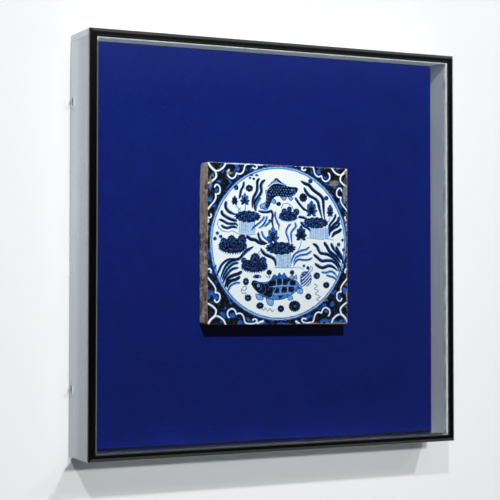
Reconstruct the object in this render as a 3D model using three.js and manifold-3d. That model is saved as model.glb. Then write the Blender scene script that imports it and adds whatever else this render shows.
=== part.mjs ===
// A framed porcelain tile: a square blue-and-white tile on a cloth-covered panel, in a deep
// wall box with a clear front. Millimetres, +Z up. The origin is the centre of the wall plane,
// the back of the box lies in the plane y = 0 and the front faces -Y.

import * as THREE from "three";
import { mergeVertices } from "three/addons/utils/BufferGeometryUtils.js";
import Module from "manifold-3d";

const wasm = await Module();
wasm.setup();

// The outer box
const boxWidth = 564;
const boxHeight = 560;
const boxDepth = 72; // from the wall to the front of the clear pane
const wallThickness = 9.5;

// The clear front pane, its black moulding and the thin fillets behind it
const paneThickness = 5;
const mouldingWidth = 9.5;
const mouldingHeight = 4.5;
const mouldingMitreGap = 0.05;
const mouldingSegments = 12;
const filletWidth = 1.5;
const filletDepth = 4.5;

// The cloth-covered panel
const panelSetback = 41; // from the front of the pane to the cloth
const panelGap = 1.5; // between the cloth and the walls, all round
const clothThickness = 1;
const clothHem = 18; // turned over behind the battens
const boardThickness = 9;
const battenThickness = 14;
const battenWidth = 44;

// The tile, which leans a little because it was cut by hand
const tileWidth = 218;
const tileHeight = 220;
const tileThickness = 28;
const tileLean = 2.4; // how far the right edge sits below the left one
const tileCornerRadius = 2.5;
const tileBevel = 1;
const tileOffsetX = 1.5;
const tileOffsetZ = 2;

// The steel plate behind the tile, with its welded studs, washers and nuts
const plateSize = 140;
const plateThickness = 1.5;
const studRadius = 2.5;
const studSpacing = 84;
const studLength = 19;
const studClearance = 0.3;
const washerRadius = 8;
const washerThickness = 1;
const nutAcrossFlats = 8;
const nutHeight = 4;

// The four cross-head screws that hold the box on the panel
const wallScrewHeadRadius = 3.25;
const wallScrewRadius = 1.6;
const wallScrewLength = 28;
const wallScrewTip = 4;
const wallScrewFromEnd = 89; // below the top of the box, and above its bottom
const wallScrewFromWall = 12;
const screwClearance = 0.3;
const slotWidth = 0.9;
const slotDepth = 1.2;
const slotReach = 0.68; // share of the head that a slot crosses

// The two hangers: a folded strap with a D-ring and two round-head screws
const strapWidth = 16;
const strapThickness = 1.5;
const strapLength = 46;
const ringWireRadius = 1.5;
const ringHalfWidth = 11.5;
const ringLeg = 4;
const ringClearance = 0.3;
const hangerHeight = 130; // of the ring's axis above the middle of the box
const hangerFromPanelEdge = 31;
const strapScrewHeadRadius = 3.5;
const strapScrewHeadHeight = 2;
const strapScrewRadius = 1.75;
const strapScrewLength = 12;
const strapFirstScrew = 26; // below the ring's axis
const strapScrewSpacing = 14;

// How finely the round forms are cut, and how far a cutter reaches past a face
const roundSides = 20;
const wireSides = 10;
const ringSteps = 22;
const domeSteps = 5;
const bevelSteps = 3;
const cornerSteps = 4;
const cutterReach = 1;
const weldDistance = 0.0001;

// Places that follow from the sizes
const paneBack = -(boxDepth - paneThickness);
const insideWidth = boxWidth - 2 * wallThickness;
const insideHeight = boxHeight - 2 * wallThickness;
const panelWidth = insideWidth - 2 * panelGap;
const panelHeight = insideHeight - 2 * panelGap;
const boardWidth = panelWidth - 2 * clothThickness;
const boardHeight = panelHeight - 2 * clothThickness;
const clothFace = -(boxDepth - panelSetback);
const boardFace = clothFace + clothThickness;
const boardBack = boardFace + boardThickness;
const battenBack = boardBack + battenThickness;
const hemBack = battenBack + clothThickness;
const tileBack = clothFace - plateThickness;
const eyeRadius = ringWireRadius + ringClearance + strapThickness;
const ringAxisY = battenBack + eyeRadius;
const strapFace = battenBack + strapThickness;
const wallScrewHeight = boxHeight / 2 - wallScrewFromEnd;
const hangerX = boardWidth / 2 - hangerFromPanelEdge;

const silver = new THREE.MeshStandardMaterial({ color: 0xb4b9bf, roughness: 0.38, metalness: 0.6 });
const black = new THREE.MeshStandardMaterial({ color: 0x141414, roughness: 0.35, metalness: 0.1 });
const clear = new THREE.MeshStandardMaterial({ color: 0xe6f0f0, roughness: 0.05, metalness: 0 });
const pale = new THREE.MeshStandardMaterial({ color: 0xc9cdd0, roughness: 0.5, metalness: 0 });
const blueCloth = new THREE.MeshStandardMaterial({ color: 0x1b2a78, roughness: 0.95, metalness: 0 });
const wood = new THREE.MeshStandardMaterial({ color: 0xb08a5c, roughness: 0.8, metalness: 0 });
const porcelain = new THREE.MeshStandardMaterial({ color: 0xe4e8ea, roughness: 0.15, metalness: 0 });
const steel = new THREE.MeshStandardMaterial({ color: 0x9a9ea3, roughness: 0.4, metalness: 0.9 });

// A boolean solid from a closed geometry, and a geometry back from a solid
function toSolid(geometry) {
  const bare = geometry.clone();
  bare.deleteAttribute("normal");
  bare.deleteAttribute("uv");
  const merged = mergeVertices(bare, weldDistance);
  const vertProperties = new Float32Array(merged.attributes.position.array);
  const triVerts = new Uint32Array(merged.index.array);
  return new wasm.Manifold(new wasm.Mesh({ numProp: 3, vertProperties, triVerts }));
}

function toGeometry(solid) {
  const mesh = solid.getMesh();
  const geometry = new THREE.BufferGeometry();
  geometry.setAttribute("position", new THREE.BufferAttribute(mesh.vertProperties, 3));
  geometry.setIndex(new THREE.BufferAttribute(mesh.triVerts, 1));
  geometry.computeVertexNormals();
  return geometry;
}

// A box between two corners
function block(x0, x1, y0, y1, z0, z1) {
  const geometry = new THREE.BoxGeometry(x1 - x0, y1 - y0, z1 - z0);
  return geometry.translate((x0 + x1) / 2, (y0 + y1) / 2, (z0 + z1) / 2);
}

// A cylinder along X or Y, from one end to the other
function rod(axis, radius, from, to, across, height, sides = roundSides) {
  const geometry = new THREE.CylinderGeometry(radius, radius, to - from, sides);
  if (axis === "x") {
    geometry.rotateZ(-Math.PI / 2);
    return geometry.translate((from + to) / 2, across, height);
  }
  return geometry.translate(across, (from + to) / 2, height);
}

function cut(geometry, cutters) {
  return toGeometry(cutters.reduce((solid, cutter) => solid.subtract(toSolid(cutter)), toSolid(geometry)));
}

function join(geometries) {
  const [first, ...rest] = geometries.map(toSolid);
  return toGeometry(rest.reduce((solid, next) => solid.add(next), first));
}

const object = new THREE.Group();

function piece(name, geometry, material) {
  const mesh = new THREE.Mesh(geometry, material);
  mesh.name = name;
  object.add(mesh);
  return mesh;
}

// A turned profile whose axis runs into the box from its left side, mirrored for the right side
function alongX(points, side, y, z) {
  const geometry = new THREE.LatheGeometry(points.map(([r, a]) => new THREE.Vector2(r, a)), roundSides);
  geometry.rotateZ(-Math.PI / 2);
  if (side > 0) geometry.rotateZ(Math.PI);
  return geometry.translate(side * boxWidth / 2, y, z);
}

// Box walls: the top lies over both sides, the bottom sits between them
function wallTop() {
  const half = boxWidth / 2;
  return block(-half, half, paneBack, 0, boxHeight / 2 - wallThickness, boxHeight / 2);
}

function wallBottom() {
  const half = insideWidth / 2;
  return block(-half, half, paneBack, 0, -boxHeight / 2, wallThickness - boxHeight / 2);
}

function wallSide(side) {
  const outer = side * boxWidth / 2;
  const inner = side * insideWidth / 2;
  const top = boxHeight / 2 - wallThickness;
  const wall = block(Math.min(outer, inner), Math.max(outer, inner), paneBack, 0, -boxHeight / 2, top);
  const holes = [1, -1].map((end) => screwHole(side, end * wallScrewHeight));
  return cut(wall, holes);
}

// The countersunk hole in a side wall
function screwHole(side, z) {
  const head = wallScrewHeadRadius + screwClearance;
  const shank = wallScrewRadius + screwClearance;
  const slope = head - shank;
  const end = wallThickness + cutterReach;
  const mouth = head + cutterReach;
  const points = [[0, -cutterReach], [mouth, -cutterReach], [shank, slope], [shank, end], [0, end]];
  return alongX(points, side, -wallScrewFromWall, z);
}

function wallScrew(side, z) {
  const slope = wallScrewHeadRadius - wallScrewRadius;
  const points = [
    [0, 0],
    [wallScrewHeadRadius, 0],
    [wallScrewRadius, slope],
    [wallScrewRadius, wallScrewLength - wallScrewTip],
    [0, wallScrewLength],
  ];
  const reach = wallScrewHeadRadius * slotReach;
  const outer = side * (boxWidth / 2 + cutterReach);
  const floor = side * (boxWidth / 2 - slotDepth);
  const x0 = Math.min(outer, floor);
  const x1 = Math.max(outer, floor);
  const y = -wallScrewFromWall;
  const half = slotWidth / 2;
  const slots = [
    block(x0, x1, y - half, y + half, z - reach, z + reach),
    block(x0, x1, y - reach, y + reach, z - half, z + half),
  ];
  return cut(alongX(points, side, y, z), slots);
}

// The pane covers the whole front, glued on the edges of the walls
function frontPane() {
  return block(-boxWidth / 2, boxWidth / 2, -boxDepth, paneBack, -boxHeight / 2, boxHeight / 2);
}

// One length of the half-round moulding, along X and mitred at both ends, with its outer
// edge at z = 0 and its body below
function mouldingRail(length) {
  const half = mouldingWidth / 2;
  const section = [];
  for (let i = 0; i <= mouldingSegments; i += 1) {
    const turn = (Math.PI * i) / mouldingSegments;
    section.push([-half + half * Math.cos(turn), -mouldingHeight * Math.sin(turn)]);
  }
  const positions = [];
  for (const [z, y] of section) {
    const reach = length / 2 + z - mouldingMitreGap;
    positions.push(-reach, y, z, reach, y, z);
  }
  const faces = [];
  const count = section.length;
  for (let i = 0; i < count; i += 1) {
    const next = (i + 1) % count;
    const [a, b, c, d] = [2 * i, 2 * i + 1, 2 * next + 1, 2 * next];
    faces.push(a, c, b, a, d, c);
  }
  for (let i = 1; i < count - 1; i += 1) {
    faces.push(0, 2 * i + 2, 2 * i);
    faces.push(1, 2 * i + 1, 2 * i + 3);
  }
  const geometry = new THREE.BufferGeometry();
  geometry.setAttribute("position", new THREE.BufferAttribute(new Float32Array(positions), 3));
  geometry.setIndex(faces);
  return geometry;
}

function addMoulding() {
  const places = [
    ["top", boxWidth, boxHeight / 2, 0],
    ["right", boxHeight, boxWidth / 2, 1],
    ["bottom", boxWidth, boxHeight / 2, 2],
    ["left", boxHeight, boxWidth / 2, 3],
  ];
  for (const [name, length, offset, quarterTurns] of places) {
    const rail = mouldingRail(length);
    rail.translate(0, -boxDepth, offset);
    rail.rotateY((quarterTurns * Math.PI) / 2);
    rail.computeVertexNormals();
    piece(`front_moulding_${name}`, rail, black);
  }
}

// Thin fillets in the corner between the pane and the walls
function addFillets() {
  const y0 = paneBack;
  const y1 = paneBack + filletDepth;
  const x = insideWidth / 2;
  const z = insideHeight / 2;
  const w = filletWidth;
  piece("pane_fillet_top", block(-x, x, y0, y1, z - w, z), pale);
  piece("pane_fillet_bottom", block(-x, x, y0, y1, -z, w - z), pale);
  piece("pane_fillet_left", block(-x, w - x, y0, y1, w - z, z - w), pale);
  piece("pane_fillet_right", block(x - w, x, y0, y1, w - z, z - w), pale);
}

// Where the four studs of the tile's plate pass through the panel
function studPlaces() {
  const half = studSpacing / 2;
  return [
    ["upper_left", -half, half],
    ["upper_right", half, half],
    ["lower_left", -half, -half],
    ["lower_right", half, -half],
  ].map(([name, x, z]) => [name, x + tileOffsetX, z + tileOffsetZ]);
}

function studHoles(from, to) {
  return studPlaces().map(([, x, z]) => rod("y", studRadius + studClearance, from, to, x, z));
}

function backingBoard() {
  const x = boardWidth / 2;
  const z = boardHeight / 2;
  const holes = studHoles(boardFace - cutterReach, boardBack + cutterReach);
  return cut(block(-x, x, boardFace, boardBack, -z, z), holes);
}

// The holes that the wall screws make in the cloth and the side battens
function wallScrewBores(side) {
  const start = wallThickness + panelGap - cutterReach;
  const end = wallScrewLength + cutterReach;
  const radius = wallScrewRadius + screwClearance;
  const points = [[0, start], [radius, start], [radius, end], [0, end]];
  return [1, -1].map((z) => alongX(points, side, -wallScrewFromWall, z * wallScrewHeight));
}

// The cloth is one piece: the face, four turned sides and a hem behind the battens
function clothCover() {
  const x = panelWidth / 2;
  const z = panelHeight / 2;
  const bx = boardWidth / 2;
  const bz = boardHeight / 2;
  const openX = x - clothHem;
  const openZ = z - clothHem;
  const hemFrom = battenBack - cutterReach;
  const hemTo = hemBack + cutterReach;
  const body = block(-x, x, clothFace, hemBack, -z, z);
  const inside = block(-bx, bx, boardFace, battenBack, -bz, bz);
  const opening = block(-openX, openX, hemFrom, hemTo, -openZ, openZ);
  const bores = [...wallScrewBores(-1), ...wallScrewBores(1)];
  const holes = studHoles(clothFace - cutterReach, boardFace + cutterReach);
  return cut(body, [inside, opening, ...holes, ...bores]);
}

function battenSide(side) {
  const outer = side * boardWidth / 2;
  const inner = side * (boardWidth / 2 - battenWidth);
  const z = boardHeight / 2;
  const batten = block(Math.min(outer, inner), Math.max(outer, inner), boardBack, battenBack, -z, z);
  const bores = strapScrewPlaces().map((height) => {
    const radius = strapScrewRadius + screwClearance;
    const from = strapFace - strapScrewLength - cutterReach;
    return rod("y", radius, from, battenBack + cutterReach, side * hangerX, height);
  });
  return cut(batten, [...wallScrewBores(side), ...bores]);
}

function battenLevel(end) {
  const x = boardWidth / 2 - battenWidth;
  const outer = end * boardHeight / 2;
  const inner = end * (boardHeight / 2 - battenWidth);
  return block(-x, x, boardBack, battenBack, Math.min(outer, inner), Math.max(outer, inner));
}

// The tile's outline is a square that leans: its right edge sits lower than its left one
function tileOutline() {
  const x = tileWidth / 2 - tileBevel;
  const z = tileHeight / 2 - tileBevel;
  const lean = tileLean / 2;
  const r = tileCornerRadius;
  const shape = new THREE.Shape();
  shape.moveTo(-x + r, -z + lean);
  shape.lineTo(x - r, -z - lean);
  shape.quadraticCurveTo(x, -z - lean, x, -z - lean + r);
  shape.lineTo(x, z - lean - r);
  shape.quadraticCurveTo(x, z - lean, x - r, z - lean);
  shape.lineTo(-x + r, z + lean);
  shape.quadraticCurveTo(-x, z + lean, -x, z + lean - r);
  shape.lineTo(-x, -z + lean + r);
  shape.quadraticCurveTo(-x, -z + lean, -x + r, -z + lean);
  return shape;
}

function tile() {
  const geometry = new THREE.ExtrudeGeometry(tileOutline(), {
    depth: tileThickness - 2 * tileBevel,
    bevelSize: tileBevel,
    bevelThickness: tileBevel,
    bevelSegments: bevelSteps,
    curveSegments: cornerSteps,
  });
  geometry.rotateX(Math.PI / 2);
  return geometry.translate(tileOffsetX, tileBack - tileBevel, tileOffsetZ);
}

// The plate is bonded to the back of the tile, and its studs are welded on
function mountPlate() {
  const half = plateSize / 2;
  const x = tileOffsetX;
  const z = tileOffsetZ;
  const plate = block(x - half, x + half, tileBack, clothFace, z - half, z + half);
  const root = clothFace - plateThickness / 2;
  const tip = clothFace + studLength;
  const studs = studPlaces().map(([, studX, studZ]) => rod("y", studRadius, root, tip, studX, studZ));
  return join([plate, ...studs]);
}

function washer(x, z) {
  const to = boardBack + washerThickness;
  const disc = rod("y", washerRadius, boardBack, to, x, z);
  return cut(disc, studHoles(boardBack - cutterReach, to + cutterReach));
}

function nut(x, z) {
  const from = boardBack + washerThickness;
  const to = from + nutHeight;
  const corner = nutAcrossFlats / 2 / Math.cos(Math.PI / 6);
  const hex = rod("y", corner, from, to, x, z, 6);
  return cut(hex, studHoles(from - cutterReach, to + cutterReach));
}

function addTileFixings() {
  for (const [name, x, z] of studPlaces()) {
    piece(`stud_washer_${name}`, washer(x, z), steel);
    piece(`stud_nut_${name}`, nut(x, z), steel);
  }
}

function strapScrewPlaces() {
  return [0, 1].map((i) => hangerHeight - strapFirstScrew - i * strapScrewSpacing);
}

// The strap is folded at its upper end into an eye round the straight side of the ring
function hangerStrap(x) {
  const half = strapWidth / 2;
  const low = hangerHeight - strapLength;
  const plate = block(x - half, x + half, battenBack, strapFace, low, hangerHeight);
  const eye = rod("x", eyeRadius, x - half, x + half, ringAxisY, hangerHeight);
  const reach = half + cutterReach;
  const bore = rod("x", ringWireRadius + ringClearance, x - reach, x + reach, ringAxisY, hangerHeight);
  const holeRadius = strapScrewRadius + screwClearance;
  const holes = strapScrewPlaces().map((z) => {
    return rod("y", holeRadius, battenBack - cutterReach, strapFace + cutterReach, x, z);
  });
  return cut(join([plate, eye]), [bore, ...holes]);
}

// The D-ring hangs from its straight side: a bar, two rounded corners, two legs and a half turn
function hangerRing(x) {
  const low = hangerHeight - ringLeg;
  const path = new THREE.CurvePath();
  const left = new THREE.Vector3(x - ringHalfWidth, ringAxisY, hangerHeight);
  const right = new THREE.Vector3(x + ringHalfWidth, ringAxisY, hangerHeight);
  const centre = new THREE.Vector3(x, ringAxisY, low);
  class HalfTurn extends THREE.Curve {
    getPoint(t) {
      const turn = Math.PI * (1 + t);
      const reach = new THREE.Vector3(Math.cos(turn), 0, Math.sin(turn));
      return reach.multiplyScalar(ringHalfWidth).add(centre);
    }
  }
  path.add(new THREE.LineCurve3(left, new THREE.Vector3(left.x, ringAxisY, low)));
  path.add(new HalfTurn());
  path.add(new THREE.LineCurve3(new THREE.Vector3(right.x, ringAxisY, low), right));
  const section = new THREE.Shape();
  section.absarc(0, 0, ringWireRadius, 0, 2 * Math.PI);
  const wire = new THREE.ExtrudeGeometry(section, {
    steps: ringSteps,
    curveSegments: wireSides / 2,
    extrudePath: path,
  });
  const bar = rod("x", ringWireRadius, left.x, right.x, ringAxisY, hangerHeight, wireSides);
  const corners = [left, right].map((corner) => {
    const ball = new THREE.SphereGeometry(ringWireRadius, wireSides, wireSides);
    return ball.translate(corner.x, corner.y, corner.z);
  });
  return join([wire, bar, ...corners]);
}

function strapScrew(x, z) {
  const dome = [];
  for (let i = 0; i < domeSteps; i += 1) {
    const turn = (Math.PI / 2) * (i / domeSteps);
    dome.push([strapScrewHeadRadius * Math.cos(turn), strapScrewHeadHeight * Math.sin(turn)]);
  }
  dome.push([0, strapScrewHeadHeight]);
  const points = [
    [0, -strapScrewLength],
    [strapScrewRadius, 2 * strapScrewRadius - strapScrewLength],
    [strapScrewRadius, 0],
    ...dome,
  ];
  const turned = new THREE.LatheGeometry(points.map(([r, a]) => new THREE.Vector2(r, a)), roundSides);
  turned.translate(x, strapFace, z);
  const reach = strapScrewHeadRadius * slotReach;
  const half = slotWidth / 2;
  const y0 = strapFace + strapScrewHeadHeight - slotDepth;
  const y1 = strapFace + strapScrewHeadHeight + cutterReach;
  const slots = [
    block(x - half, x + half, y0, y1, z - reach, z + reach),
    block(x - reach, x + reach, y0, y1, z - half, z + half),
  ];
  return cut(turned, slots);
}

function addHangers() {
  for (const [name, side] of [["left", -1], ["right", 1]]) {
    const x = side * hangerX;
    piece(`hanger_strap_${name}`, hangerStrap(x), steel);
    piece(`hanger_ring_${name}`, hangerRing(x), steel);
    const [upper, lower] = strapScrewPlaces();
    piece(`hanger_screw_${name}_upper`, strapScrew(x, upper), steel);
    piece(`hanger_screw_${name}_lower`, strapScrew(x, lower), steel);
  }
}

piece("wall_top", wallTop(), silver);
piece("wall_bottom", wallBottom(), silver);
piece("wall_left", wallSide(-1), silver);
piece("wall_right", wallSide(1), silver);
for (const [name, side] of [["left", -1], ["right", 1]]) {
  piece(`wall_screw_${name}_upper`, wallScrew(side, wallScrewHeight), steel);
  piece(`wall_screw_${name}_lower`, wallScrew(side, -wallScrewHeight), steel);
}
piece("front_pane", frontPane(), clear);
addMoulding();
addFillets();
piece("backing_board", backingBoard(), wood);
piece("cloth_cover", clothCover(), blueCloth);
piece("batten_left", battenSide(-1), wood);
piece("batten_right", battenSide(1), wood);
piece("batten_top", battenLevel(1), wood);
piece("batten_bottom", battenLevel(-1), wood);
piece("tile", tile(), porcelain);
piece("tile_mount_plate", mountPlate(), steel);
addTileFixings();
addHangers();

export default object;
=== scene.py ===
# A framed porcelain tile: a painted tile on a cloth-covered panel, in a shallow wall box with a
# clear front. Metres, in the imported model's frame: the wall plane is y = 0, the front faces -Y.

import math

import bmesh
import bpy
import numpy as np
from mathutils import Matrix, Vector, noise


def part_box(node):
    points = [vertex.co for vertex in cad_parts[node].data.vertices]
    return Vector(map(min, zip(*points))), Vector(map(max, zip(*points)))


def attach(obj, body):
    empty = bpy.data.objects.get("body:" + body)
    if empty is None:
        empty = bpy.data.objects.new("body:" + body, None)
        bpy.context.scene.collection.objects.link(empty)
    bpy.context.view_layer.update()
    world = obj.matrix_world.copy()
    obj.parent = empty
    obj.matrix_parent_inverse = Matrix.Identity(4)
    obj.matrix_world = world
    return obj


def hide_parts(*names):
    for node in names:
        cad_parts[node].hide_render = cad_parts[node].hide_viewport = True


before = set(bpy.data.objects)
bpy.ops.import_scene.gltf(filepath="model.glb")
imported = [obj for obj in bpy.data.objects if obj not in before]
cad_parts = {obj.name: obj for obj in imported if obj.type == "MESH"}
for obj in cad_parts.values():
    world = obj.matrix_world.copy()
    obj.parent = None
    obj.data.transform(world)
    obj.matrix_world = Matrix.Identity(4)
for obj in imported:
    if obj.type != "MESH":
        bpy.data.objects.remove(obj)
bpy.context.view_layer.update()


# The walls of the box
# Four flat bars of satin anodised aluminium, glued at the corners. The top bar lies over both
# sides and the bottom bar sits between them. Their edges are broken with a fine file.

bar_edge = 0.0005
silver_light = (0.55, 0.59, 0.62, 1)
silver_dark = (0.45, 0.485, 0.515, 1)
silver_shaded = (0.20, 0.22, 0.24, 1)
shade_front = (-0.024, -0.044)
shade_foot = (0.12, -0.28)
shade_dark = (0.05, 0.06, 0.065, 1)
wall_shadow_depth = (-0.0045, -0.0020)
wall_shadow_height = (-0.05, 0.15)
painted_glint = (0.72, 0.86, 0.94, 1)
screw_deep = -0.012
screw_high = 0.191
screw_rim = 0.0060
rim_blur = 0.0008


def add(tree, kind, values=None, **settings):
    """A new node in the tree, with its settings and with its sockets set or linked."""
    made = tree.nodes.new(kind)
    for name, value in settings.items():
        setattr(made, name, value)
    for socket, value in (values or {}).items():
        if isinstance(value, bpy.types.NodeSocket):
            tree.links.new(value, made.inputs[socket])
        else:
            made.inputs[socket].default_value = value
    return made


def maths(tree, operation, *values):
    """One step of arithmetic on numbers or sockets."""
    return add(tree, "ShaderNodeMath", dict(enumerate(values)), operation=operation).outputs[0]


def stretched(tree, place, scale, turn=(0, 0, 0)):
    return add(tree, "ShaderNodeMapping", {0: place, "Scale": scale, "Rotation": turn}).outputs[0]


def own_place(tree, scale=(1, 1, 1), turn=(0, 0, 0)):
    """The piece's own coordinates in metres, stretched and turned."""
    return stretched(tree, add(tree, "ShaderNodeTexCoord").outputs["Object"], scale, turn)


def apart(tree, vector):
    """A vector's three parts."""
    return add(tree, "ShaderNodeSeparateXYZ", {0: vector}).outputs[:3]


def noisy(tree, place, scale, detail=2, **more):
    """Cloudy noise from 0 to 1."""
    sockets = {"Vector": place, "Scale": scale, "Detail": detail, **more}
    return add(tree, "ShaderNodeTexNoise", sockets).outputs[0]


def bumped(tree, height, strength, distance):
    sockets = {"Height": height, "Strength": strength, "Distance": distance}
    return add(tree, "ShaderNodeBump", sockets).outputs[0]


def blended(tree, share, first, second):
    """A colour between two, by a share from 0 to 1."""
    mix = add(tree, "ShaderNodeMix", {"Factor": share}, data_type="RGBA")
    for socket, value in ((mix.inputs[6], first), (mix.inputs[7], second)):
        if isinstance(value, bpy.types.NodeSocket):
            tree.links.new(value, socket)
        else:
            socket.default_value = value
    return mix.outputs[2]


def ranged(tree, value, low, high, new_low, new_high):
    """A value carried over from one range to another, where it stops at the ends."""
    ends = {"Value": value, "From Min": low, "From Max": high, "To Min": new_low, "To Max": new_high}
    return add(tree, "ShaderNodeMapRange", ends).outputs[0]


def new_material(name):
    material = bpy.data.materials.new(name)
    material.use_nodes = True
    material.node_tree.nodes.clear()
    return material, material.node_tree


def show(material, shader):
    """Puts a shader on the material's surface."""
    add(material.node_tree, "ShaderNodeOutputMaterial", {"Surface": shader.outputs[0]})
    return material


def surface(material, sockets):
    """Gives the material one shader with these values."""
    return show(material, add(material.node_tree, "ShaderNodeBsdfPrincipled", sockets))


def new_group(name, inputs, outputs):
    """An empty shader node group with named inputs and outputs."""
    group = bpy.data.node_groups.new(name, "ShaderNodeTree")
    for label, kind, value in inputs:
        socket = group.interface.new_socket(label, in_out="INPUT", socket_type=kind)
        if value is not None:
            socket.default_value = value
    for label, kind in outputs:
        group.interface.new_socket(label, in_out="OUTPUT", socket_type=kind)
    return group, group.nodes.new("NodeGroupInput"), group.nodes.new("NodeGroupOutput")


def make_brushed_group():
    """Long fine streaks, with soft cloudy patches, as on brushed or drawn metal."""
    group, given, result = new_group(
        "brushed streaks",
        [("Place", "NodeSocketVector", None), ("Clouds", "NodeSocketFloat", 9.0)],
        [("Streaks", "NodeSocketFloat"), ("Patches", "NodeSocketFloat")],
    )
    fine = noisy(group, given.outputs["Place"], 1, 4)
    clouds = noisy(group, add(group, "ShaderNodeTexCoord").outputs["Object"], given.outputs["Clouds"], 3)
    group.links.new(fine, result.inputs["Streaks"])
    group.links.new(clouds, result.inputs["Patches"])
    return group


brushed_group = make_brushed_group()


def brushed(tree, scale, clouds=9.0):
    made = add(tree, "ShaderNodeGroup", node_tree=brushed_group)
    tree.links.new(own_place(tree, scale), made.inputs["Place"])
    made.inputs["Clouds"].default_value = clouds
    return made.outputs["Streaks"], made.outputs["Patches"]


def satin_silver(name, scale, shine, rough, painted_shading=False):
    """Satin aluminium with streaks along the bar. A side gets painted shade toward its front and foot,
    a painted shadow along the wall toward the top, and a screw rim painted dark behind, bright in front."""
    material, tree = new_material(name)
    streaks, patches = brushed(tree, scale)
    tone = maths(tree, "ADD", streaks, patches)
    colour = blended(tree, ranged(tree, tone, 0.7, 1.3, 0, 1), silver_dark, silver_light)
    if painted_shading:
        _, deep, high = apart(tree, own_place(tree))
        # Painted shade: the side darkens toward its front edge and toward its foot.
        front = ranged(tree, deep, *shade_front, 0, 0.40)
        foot = ranged(tree, high, *shade_foot, 0, 0.34)
        colour = blended(tree, maths(tree, "ADD", front, foot), colour, silver_shaded)
        # Painted shadow: a dark band along the edge that meets the wall, strongest toward the top.
        against_wall = ranged(tree, deep, *wall_shadow_depth, 0, 1)
        toward_top = ranged(tree, high, *wall_shadow_height, 0.08, 0.42)
        wall_shadow = maths(tree, "MULTIPLY", against_wall, toward_top)
        colour = blended(tree, wall_shadow, colour, shade_dark)
        # Painted shade and highlight: a rim round each screw, dark on the half toward the wall, bright in
        # front.
        flat = add(tree, "ShaderNodeCombineXYZ", {1: deep, 2: maths(tree, "ABSOLUTE", high)}).outputs[0]
        screw = {0: flat, 1: (0, screw_deep, screw_high)}
        far = add(tree, "ShaderNodeVectorMath", screw, operation="DISTANCE").outputs["Value"]
        side = ranged(tree, deep, screw_deep - 0.0015, screw_deep + 0.0005, 0, 1)
        rim = blended(tree, side, painted_glint, shade_dark)
        on_rim = ranged(tree, far, screw_rim, screw_rim + rim_blur, 0.95, 0)
        colour = blended(tree, on_rim, colour, rim)
    bump = bumped(tree, streaks, 0.06, 0.0004)
    return surface(material, {
        "Base Color": colour,
        "Metallic": shine,
        "Roughness": ranged(tree, patches, 0.3, 0.7, rough, rough + 0.1),
        "Normal": bump,
    })


def copy_of(node):
    """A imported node's mesh, with its loose triangles merged into flat faces."""
    shape = bmesh.new()
    shape.from_mesh(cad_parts[node].data)
    bmesh.ops.remove_doubles(shape, verts=shape.verts, dist=1e-6)
    bmesh.ops.dissolve_limit(shape, angle_limit=math.radians(1), verts=shape.verts, edges=shape.edges)
    return shape


def round_edges(shape, edges, width, steps, **more):
    bmesh.ops.bevel(
        shape, geom=edges, offset=width, segments=steps, profile=0.5, affect="EDGES", material=-1, **more
    )


def break_edges(shape, width, steps=2, least=60):
    """Rounds the edges where two faces meet at more than the least angle in degrees."""
    sharp = [e for e in shape.edges if e.is_manifold and e.calc_face_angle() > math.radians(least)]
    round_edges(shape, sharp, width, steps, clamp_overlap=True)


def make_object(name, shape, materials, smooth=False):
    """Turns a bmesh into an object in the scene."""
    mesh = bpy.data.meshes.new(name)
    shape.to_mesh(mesh)
    shape.free()
    for material in materials:
        mesh.materials.append(material)
    mesh.polygons.foreach_set("use_smooth", [smooth] * len(mesh.polygons))
    made = bpy.data.objects.new(name, mesh)
    bpy.context.scene.collection.objects.link(made)
    return made


def place_piece(name, shape, materials, stands_for=(), body="frame", smooth=False):
    """Makes a piece of the object that rides on a body."""
    piece = make_object(name, shape, materials, smooth)
    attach(piece, body)
    if stands_for:
        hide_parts(*stands_for)
    return piece


upright_brushing = (700, 700, 9)
level_brushing = (9, 700, 700)
for wall, across, scale, inner_shine, inner_rough in (
    ("wall_left", 0, upright_brushing, 0.1, 0.4),
    ("wall_right", 0, upright_brushing, 0.1, 0.4),
    ("wall_top", 2, level_brushing, 0.1, 0.4),
    ("wall_bottom", 2, level_brushing, 0.95, 0.08),
):
    bar = copy_of(wall)
    break_edges(bar, bar_edge, least=80)
    for face in bar.faces:
        face.material_index = int(face.normal[across] * face.calc_center_median()[across] < -1e-3)
    outside = satin_silver(wall + ", brushed", scale, 0.75, 0.2, painted_shading=across == 0)
    inside = satin_silver(wall + ", inside", scale, inner_shine, inner_rough)
    place_piece(wall + "_bar", bar, [outside, inside], [wall])


# The screws and the other steel at the back
# Cross-head screws, washers, nuts, studs and hanger straps of zinc-plated steel. The side screws
# go through the walls into the battens, and the hanger screws into the battens from behind.

zinc_bright = (0.62, 0.64, 0.67, 1)
zinc_dull = (0.36, 0.37, 0.38, 1)
zinc_glint_blue = (0.66, 0.86, 0.95, 1)
zinc_shaded = (0.09, 0.11, 0.13, 1)
cross_shade = (0.05, 0.06, 0.07, 1)
cross_reach = (0.2805, 0.2818)
screw_shade_depth = (-0.0132, -0.0112)


def zinc_steel():
    material, tree = new_material("zinc-plated steel")
    streaks, patches = brushed(tree, (300, 300, 300), 120.0)
    colour = blended(tree, ranged(tree, patches, 0.35, 0.65, 0, 1), zinc_dull, zinc_bright)
    return surface(material, {
        "Base Color": colour,
        "Metallic": 1,
        "Roughness": ranged(tree, streaks, 0.3, 0.7, 0.22, 0.45),
    })


def dress(names, material):
    for name in names:
        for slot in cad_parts[name].material_slots:
            slot.material = material


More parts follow.
